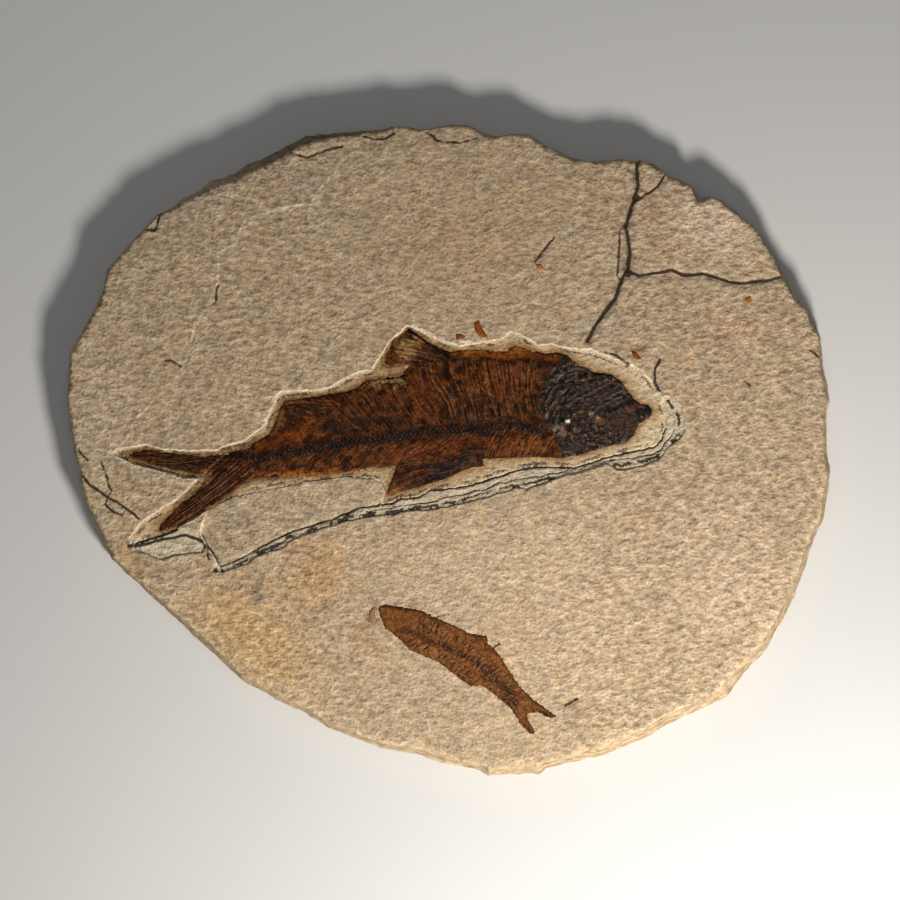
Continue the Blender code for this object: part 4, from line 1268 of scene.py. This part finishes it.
def small_face(points):
    """The small fish's height and colour at the points, how glossy it is and how its fibres run."""
    edge = np.maximum(depth_inside(points, small_ring, 30), 0)
    x, y = points.T
    grit = waves(x / 0.6, y / 0.6, 210)
    blotch = waves(x / 2.6, y / 2.2, 211)
    cloud = waves(x / 7, y / 5, 212)
    flecks = waves(x / 1.1, y / 0.9, 213)
    wander = ragged(points, ((5, 0.4), (1.6, 0.2)), 220)
    thick = 0.1 + 0.3 * (1 - np.exp(-edge / 2.5)) + 0.03 * grit + 0.04 * blotch
    colours = paint(
        plain(CHESTNUT, len(points)),
        (PALE_CHESTNUT, 0.6 * smooth(0.3 + 0.9 * blotch)),
        ((84, 48, 26), 0.7 * smooth(0.1 - 0.9 * blotch + 0.5 * cloud)),
    )
    colours = daubed(colours, ragged(points, ((3, 1.0), (1.2, 0.5)), 230), SMALL_PATCHES, 0.6)
    spine = stroke(wander, SMALL_SPINE, 1.5)
    thick += 0.1 * spine
    colours = paint(colours, ((44, 30, 25), 0.9 * spine * smooth(0.8 + 0.8 * blotch + 0.5 * grit)))
    for fan, _, count, seed, shade, strength, dark in SMALL_FANS:
        threads, gaps = rays(wander, fan, count, 0.6, seed, 0.8)
        thick += 0.05 * (threads - 0.5 * gaps)
        dark_gaps = dark * gaps * smooth(0.9 + 0.6 * blotch)
        colours = paint(colours, ((50, 30, 20), dark_gaps), (shade, strength * threads))
    colours = paint(
        colours,
        ((52, 32, 21), 0.75 * np.exp(-edge / 0.7) * smooth(0.55 + 0.9 * blotch + 0.6 * grit)),
        ((48, 29, 19), 0.6 * smooth(-flecks * 1.5 - 0.2 - 0.3 * cloud)),
        ((40, 25, 17), 0.5 * smooth(-grit * 1.5 - 0.2 + 0.3 * blotch)),
        ((190, 126, 68), 0.45 * smooth(flecks * 1.5 - 0.2 + 0.4 * grit)),
    )
    strand = np.column_stack([x / 1.2, y / 1.2, np.full(len(points), 50.0)])
    fans = [(fan, fibres, 1.0) for fan, fibres, *_ in SMALL_FANS]
    strand, cover = strands(wander, fans, strand, np.full(len(points), 0.25), 1, 0.6, (1, 1.1), 420)
    masks = {"gloss": np.clip(0.4 + 0.4 * blotch, 0, 1), "strand": strand, "strand_cover": cover}
    return OPEN + skin(points) + thick, colours, masks


def small_fish(material):
    """The small fish's bones on the open surface."""

    def fray(x, y):
        size = 0.36 + 0.1 * smooth((x - 8) / 20)
        return size * (waves(x / 1.3, y / 1.3, 200) + 0.7 * waves(x / 0.6, y / 0.6, 201))

    obj = plate("small_fish_bones", small_ring, SMALL_SPACING, fray, small_face, LET_IN, material)
    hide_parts("small_fish")


SCALE_COLOURS = {
    "scale_by_fin": (156, 84, 36),
    "scale_near_fin": (152, 92, 52),
    "scale_north": (196, 122, 52),
    "scale_east": (186, 118, 56),
    "scale_by_head": (150, 86, 44),
    "scale_at_snout": (166, 130, 98),
}


def scales(material):
    """The six loose scales, each with growth rings."""

    def fray(x, y):
        return 0.12 * waves(x / 0.8, y / 0.8, 300)

    for name, ring in scale_rings.items():

        def surface(points):
            grit = waves(points[:, 0] / 0.7, points[:, 1] / 0.7, 301)
            growth = np.cos(np.hypot(*(points - ring.mean(axis=0)).T) * 5)
            colours = plain(SCALE_COLOURS[name], len(points))
            colours = paint(colours, ((96, 54, 30), 0.4 * smooth(0.2 + grit)))
            edge = np.maximum(depth_inside(points, ring, 10), 0)
            thick = 0.08 + 0.16 * (1 - np.exp(-edge / 0.7)) + 0.02 * growth
            none = np.zeros(len(points))
            masks = {"gloss": none + 0.6, "strand": np.zeros((len(points), 3)), "strand_cover": none}
            return OPEN + skin(points) + thick, colours, masks

        obj = plate("fossil_" + name, ring, SCALE_SPACING, fray, surface, LET_IN, material)
        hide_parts(name)


# ---- Materials ----


class Shader:
    """A node material, built one node at a time."""

    def __init__(self, name):
        self.material = bpy.data.materials.new(name)
        self.material.use_nodes = True
        self.tree = self.material.node_tree
        self.surface = self.tree.nodes["Principled BSDF"]

    def add(self, kind, inputs=(), **settings):
        node = self.tree.nodes.new(kind)
        for key, value in settings.items():
            setattr(node, key, value)
        for key, value in dict(inputs).items():
            self.set(node.inputs[key], value)
        return node

    def set(self, socket, value):
        if isinstance(value, bpy.types.NodeSocket):
            self.tree.links.new(value, socket)
        else:
            socket.default_value = value

    def attribute(self, name):
        return self.add("ShaderNodeAttribute", attribute_name=name)

    def noise(self, vector, scale, detail=2.0, roughness=0.5):
        """Even noise from 0 to 1, so many waves to a metre."""
        inputs = {"Vector": vector, "Scale": scale, "Detail": detail, "Roughness": roughness}
        return self.add("ShaderNodeTexNoise", inputs).outputs["Fac"]

    def turned(self, degrees, stretch):
        """Object coordinates turned about Z and squeezed, for streaks along a bearing."""
        place = self.add("ShaderNodeTexCoord").outputs["Object"]
        inputs = {"Vector": place, "Rotation": (0, 0, -math.radians(degrees)), "Scale": stretch}
        return self.add("ShaderNodeMapping", inputs, vector_type="POINT").outputs["Vector"]

    def spread(self, value, low, high, to_low=0.0, to_high=1.0):
        """The value's range from low to high, stretched over another."""
        inputs = {"Value": value, "From Min": low, "From Max": high, "To Min": to_low, "To Max": to_high}
        return self.add("ShaderNodeMapRange", inputs).outputs["Result"]

    def maths(self, operation, a, b):
        return self.add("ShaderNodeMath", {0: a, 1: b}, operation=operation).outputs[0]

    def times(self, a, b):
        return self.maths("MULTIPLY", a, b)

    def plus(self, a, b):
        return self.maths("ADD", a, b)

    def mix(self, share, a, b, blend="MIX", kind="RGBA"):
        """Two colours mixed by a share, or two numbers when the kind is FLOAT."""
        node = self.add("ShaderNodeMix", data_type=kind, blend_type=blend)
        for socket, value in zip([s for s in node.inputs if s.enabled], (share, a, b)):
            self.set(socket, value)
        return next(s for s in node.outputs if s.enabled)

    def scaled(self, colour, factor):
        """The colour made lighter or darker by a number."""
        grey = self.add("ShaderNodeCombineColor", {0: factor, 1: factor, 2: factor}).outputs[0]
        return self.mix(1.0, colour, grey, "MULTIPLY")

    def bump(self, height, strength, distance, normal=None):
        inputs = {"Height": height, "Strength": strength, "Distance": distance}
        if normal is not None:
            inputs["Normal"] = normal
        return self.add("ShaderNodeBump", inputs).outputs["Normal"]


# Colours as the material's own numbers.
PALE_LINE = (0.84, 0.73, 0.55, 1)
SHADE_AND_CRACK_COLOUR = (0.03, 0.019, 0.012, 1)
SPECK = (0.09, 0.06, 0.04, 1)
GLOW = (0.2, 0.07, 0.018, 1)
SPARK = (0.62, 0.5, 0.38, 1)
FIBRE_HIGHLIGHT = (0.15, 0.095, 0.058, 1)
THREAD_SHADOW = (0.006, 0.004, 0.004, 1)
STONE_SHINE, BONE_SHINE = 0.3, 0.05


def limestone():
    """Leathery limestone: streaky tan and grey mottle, fine grain, dark specks, layered along the sides; the
    mottle, grain and layers also paint light and shade onto the relief.
    """
    shader = Shader("mottled_limestone")
    tone = shader.attribute("tone").outputs["Color"]
    fresh = shader.attribute("fresh").outputs["Fac"]
    side = shader.attribute("side").outputs["Fac"]
    place = shader.add("ShaderNodeTexCoord").outputs["Object"]
    shade_and_crack_lines = shader.attribute("shade_and_crack_lines").outputs["Fac"]
    pale = shader.attribute("pale").outputs["Fac"]
    torn = shader.spread(shader.noise(place, 1400, 2, 0.6), 0.25, 0.75, -0.12, 0.12)
    tone = shader.mix(shader.spread(shader.plus(pale, torn), 0.62, 0.86), tone, PALE_LINE)
    west = shader.noise(shader.turned(-20, (1, 1.5, 1)), 240, 2, 0.5)
    east = shader.noise(shader.turned(24, (1, 1.5, 1)), 240, 2, 0.5)
    across = shader.add("ShaderNodeSeparateXYZ", {0: place}).outputs["X"]
    streaks = shader.mix(shader.spread(across, -0.07, 0.08), west, east, kind="FLOAT")
    dimples = shader.noise(place, 620, 3, 0.55)
    mottle = shader.plus(shader.times(streaks, 0.6), shader.times(dimples, 0.4))
    grain_noise = shader.noise(place, 1150, 3, 0.65)
    layers = shader.noise(shader.turned(0, (0.12, 0.12, 5)), 130, 3, 0.55)
    quiet = shader.times(fresh, 0.75)
    blotches = shader.noise(place, 120, 2, 0.5)
    # Painted light and shade: the mottle, blotches, grain and side layers that also shape the bump make the colour
    # lighter and darker, as lit and shaded relief.
    light = shader.spread(mottle, 0.34, 0.66, 0.58, 1.4)
    light = shader.times(light, shader.spread(blotches, 0.3, 0.7, 0.88, 1.12))
    light = shader.plus(shader.times(light, shader.maths("SUBTRACT", 1.0, quiet)), quiet)
    light = shader.times(light, shader.spread(grain_noise, 0.25, 0.75, 0.74, 1.26))
    layered = shader.spread(layers, 0.3, 0.7, 0.72, 1.15)
    layered = shader.plus(shader.times(layered, side), shader.maths("SUBTRACT", 1.0, side))
    light = shader.times(light, layered)
    mottled = shader.mix(mottle, (0.98, 0.87, 0.74, 1), (1.02, 1.13, 1.26, 1))
    colour = shader.mix(1.0, shader.scaled(tone, light), mottled, "MULTIPLY")
    for scale, starts, full, share, tint in (
        (210, 0.5, 0.72, 0.6, (1.05, 0.91, 0.76, 1)),
        (180, 0.54, 0.74, 0.9, (0.93, 0.96, 0.98, 1)),
    ):
        clouds = shader.spread(shader.noise(place, scale, 3, 0.55), starts, full, 0.0, share)
        colour = shader.mix(clouds, colour, shader.mix(1.0, colour, tint, "MULTIPLY"))
    specks = shader.noise(place, 640, 1, 0.4)
    colour = shader.mix(shader.spread(specks, 0.73, 0.78, 0.0, 0.6), colour, SPECK)
    # Painted shade, near black: along the ledges' feet and seams, and in the cracks, hairlines and pits.
    colour = shader.mix(shader.spread(shader.plus(shade_and_crack_lines, torn), 0.73, 0.9, 0.0, 0.94), colour, SHADE_AND_CRACK_COLOUR)
    shader.set(shader.surface.inputs["Base Color"], colour)
    shader.set(shader.surface.inputs["Roughness"], shader.spread(grain_noise, 0.2, 0.8, 0.78, 0.95))
    shader.surface.inputs["Specular IOR Level"].default_value = STONE_SHINE
    normal = shader.bump(blotches, 0.5, 0.0012)
    normal = shader.bump(mottle, 0.9, 0.0021, normal)
    normal = shader.bump(layers, shader.times(side, 0.5), 0.0008, normal)
    normal = shader.bump(grain_noise, 0.7, 0.0004, normal)
    shader.set(shader.surface.inputs["Normal"], normal)
    return shader.material


def bone(name, sparkle, fine, glow_share):
    """Dark glossy bone: painted zones broken up by fibres, grit and glints."""
    shader = Shader(name)
    tone = shader.attribute("tone").outputs["Color"]
    gloss = shader.attribute("gloss").outputs["Fac"]
    place = shader.add("ShaderNodeTexCoord").outputs["Object"]
    grit = shader.noise(place, 1500 * fine, 3, 0.65)
    fibre = shader.noise(shader.turned(8, (0.7, 1.3, 1)), 800 * fine, 2, 0.6)
    gritty, fibrous = shader.spread(grit, 0.28, 0.72, 0.6, 1.4), shader.spread(fibre, 0.3, 0.7, 0.75, 1.25)
    colour = shader.scaled(tone, shader.times(gritty, fibrous))
    strand = shader.attribute("strand").outputs["Vector"]
    cover = shader.attribute("strand_cover").outputs["Fac"]
    streak = shader.noise(strand, 1.5, 2, 0.6)
    # Painted light and shade on the fibres, which also shape the bump: paler along their ridges and a painted
    # shadow between them.
    thread = shader.times(shader.spread(streak, 0.53, 0.68), cover)
    shadow = shader.times(shader.spread(streak, 0.47, 0.34), cover)
    fibre_lit = shader.mix(1.0, colour, FIBRE_HIGHLIGHT, "ADD")
    colour = shader.mix(shader.times(thread, 0.5), colour, fibre_lit)
    colour = shader.mix(shader.times(shadow, 0.85), colour, THREAD_SHADOW)
    glow = shader.noise(place, 620 * fine, 2, 0.6)
    colour = shader.mix(shader.spread(glow, 0.58, 0.72, 0.0, glow_share), colour, GLOW)
    cells = shader.add("ShaderNodeTexVoronoi", {"Vector": place, "Scale": 900.0, "Randomness": 1.0})
    dots = shader.spread(cells.outputs["Distance"], 0.22, 0.08)
    pick = shader.add("ShaderNodeSeparateColor", {0: cells.outputs["Color"]}).outputs[0]
    sparks = shader.times(dots, shader.spread(pick, 0.965, 0.975))
    colour = shader.mix(shader.times(sparks, sparkle), colour, SPARK)
    shader.set(shader.surface.inputs["Base Color"], colour)
    rough = shader.spread(gloss, 0.0, 1.0, 0.62, 0.36)
    rough = shader.plus(rough, shader.spread(grit, 0.2, 0.8, -0.08, 0.12))
    shader.set(shader.surface.inputs["Roughness"], rough)
    shader.surface.inputs["Specular IOR Level"].default_value = BONE_SHINE
    normal = shader.bump(shader.times(streak, cover), 0.7, 0.0012)
    normal = shader.bump(grit, 0.8, 0.0005, normal)
    normal = shader.bump(fibre, 0.6, 0.0005, normal)
    shader.set(shader.surface.inputs["Normal"], normal)
    return shader.material


# ---- The scene ----


LIGHTS = [  # name, place, what it points at, size, power and colour, in metres and watts
    ("key", (0.29, -0.56, 0.46), (0.02, -0.03, 0.0), 0.16, 6.6, (1.0, 0.965, 0.91)),
    ("fill", (-0.3, 0.5, 1.4), (0, 0, 0), 1.2, 2.0, (0.93, 0.96, 1.0)),
]
SKY_COLOUR = (0.95, 0.97, 1.0, 1)
SKY_STRENGTH = 0.1
FLOOR_COLOUR = (0.74, 0.73, 0.71, 1)
FLOOR_ROUGHNESS = 0.9
FLOOR_HALF = 3.0
CAMERA_HEIGHT = 1.8
CAMERA_REACH = 20
SENSOR = 36.0
IMAGE_SIDE = 900  # in drawing-grid steps


def area_light(name, place, aim, size, power, colour):
    """A round lamp."""
    light = bpy.data.lights.new(name, "AREA")
    light.shape = "DISK"
    light.size = size
    light.energy = power
    light.color = colour
    obj = bpy.data.objects.new(name, light)
    obj.location = place
    obj.rotation_euler = (Vector(aim) - Vector(place)).to_track_quat("-Z", "Y").to_euler()
    bpy.context.scene.collection.objects.link(obj)


def studio():
    """The floor under the slab, the lamps and a weak sky."""
    material = bpy.data.materials.new("pale_floor")
    material.use_nodes = True
    surface = material.node_tree.nodes["Principled BSDF"]
    surface.inputs["Base Color"].default_value = FLOOR_COLOUR
    surface.inputs["Roughness"].default_value = FLOOR_ROUGHNESS
    mesh = bpy.data.meshes.new("floor")
    corners = [(-FLOOR_HALF, -FLOOR_HALF, 0), (FLOOR_HALF, -FLOOR_HALF, 0), (FLOOR_HALF, FLOOR_HALF, 0)]
    mesh.from_pydata([*corners, (-FLOOR_HALF, FLOOR_HALF, 0)], [], [(0, 1, 2, 3)])
    mesh.materials.append(material)
    floor = bpy.data.objects.new("floor", mesh)
    bpy.context.scene.collection.objects.link(floor)
    for lamp in LIGHTS:
        area_light(*lamp)
    world = bpy.data.worlds.new("studio")
    world.use_nodes = True
    background = world.node_tree.nodes["Background"]
    background.inputs["Color"].default_value = SKY_COLOUR
    background.inputs["Strength"].default_value = SKY_STRENGTH
    bpy.context.scene.world = world
    bpy.context.scene.view_settings.view_transform = "Standard"


def camera():
    """Straight above, so far in that the slab's upper face fills the picture as in the photograph."""
    data = bpy.data.cameras.new("camera")
    data.sensor_width = SENSOR
    data.lens = SENSOR * (CAMERA_HEIGHT * 1000 - high[2]) / (IMAGE_SIDE * GRID)
    data.clip_end = CAMERA_REACH
    obj = bpy.data.objects.new("camera", data)
    obj.location = (*plot((IMAGE_SIDE / 2, IMAGE_SIDE / 2)) / 1000, CAMERA_HEIGHT)
    bpy.context.scene.collection.objects.link(obj)
    bpy.context.scene.camera = obj


stone_slab()
large_fish(bone("dark_fossil_bone", 0.8, 1.0, 0.25))
little = bone("chestnut_fossil_bone", 0.35, 1.4, 0.5)
small_fish(little)
scales(little)
studio()
camera()
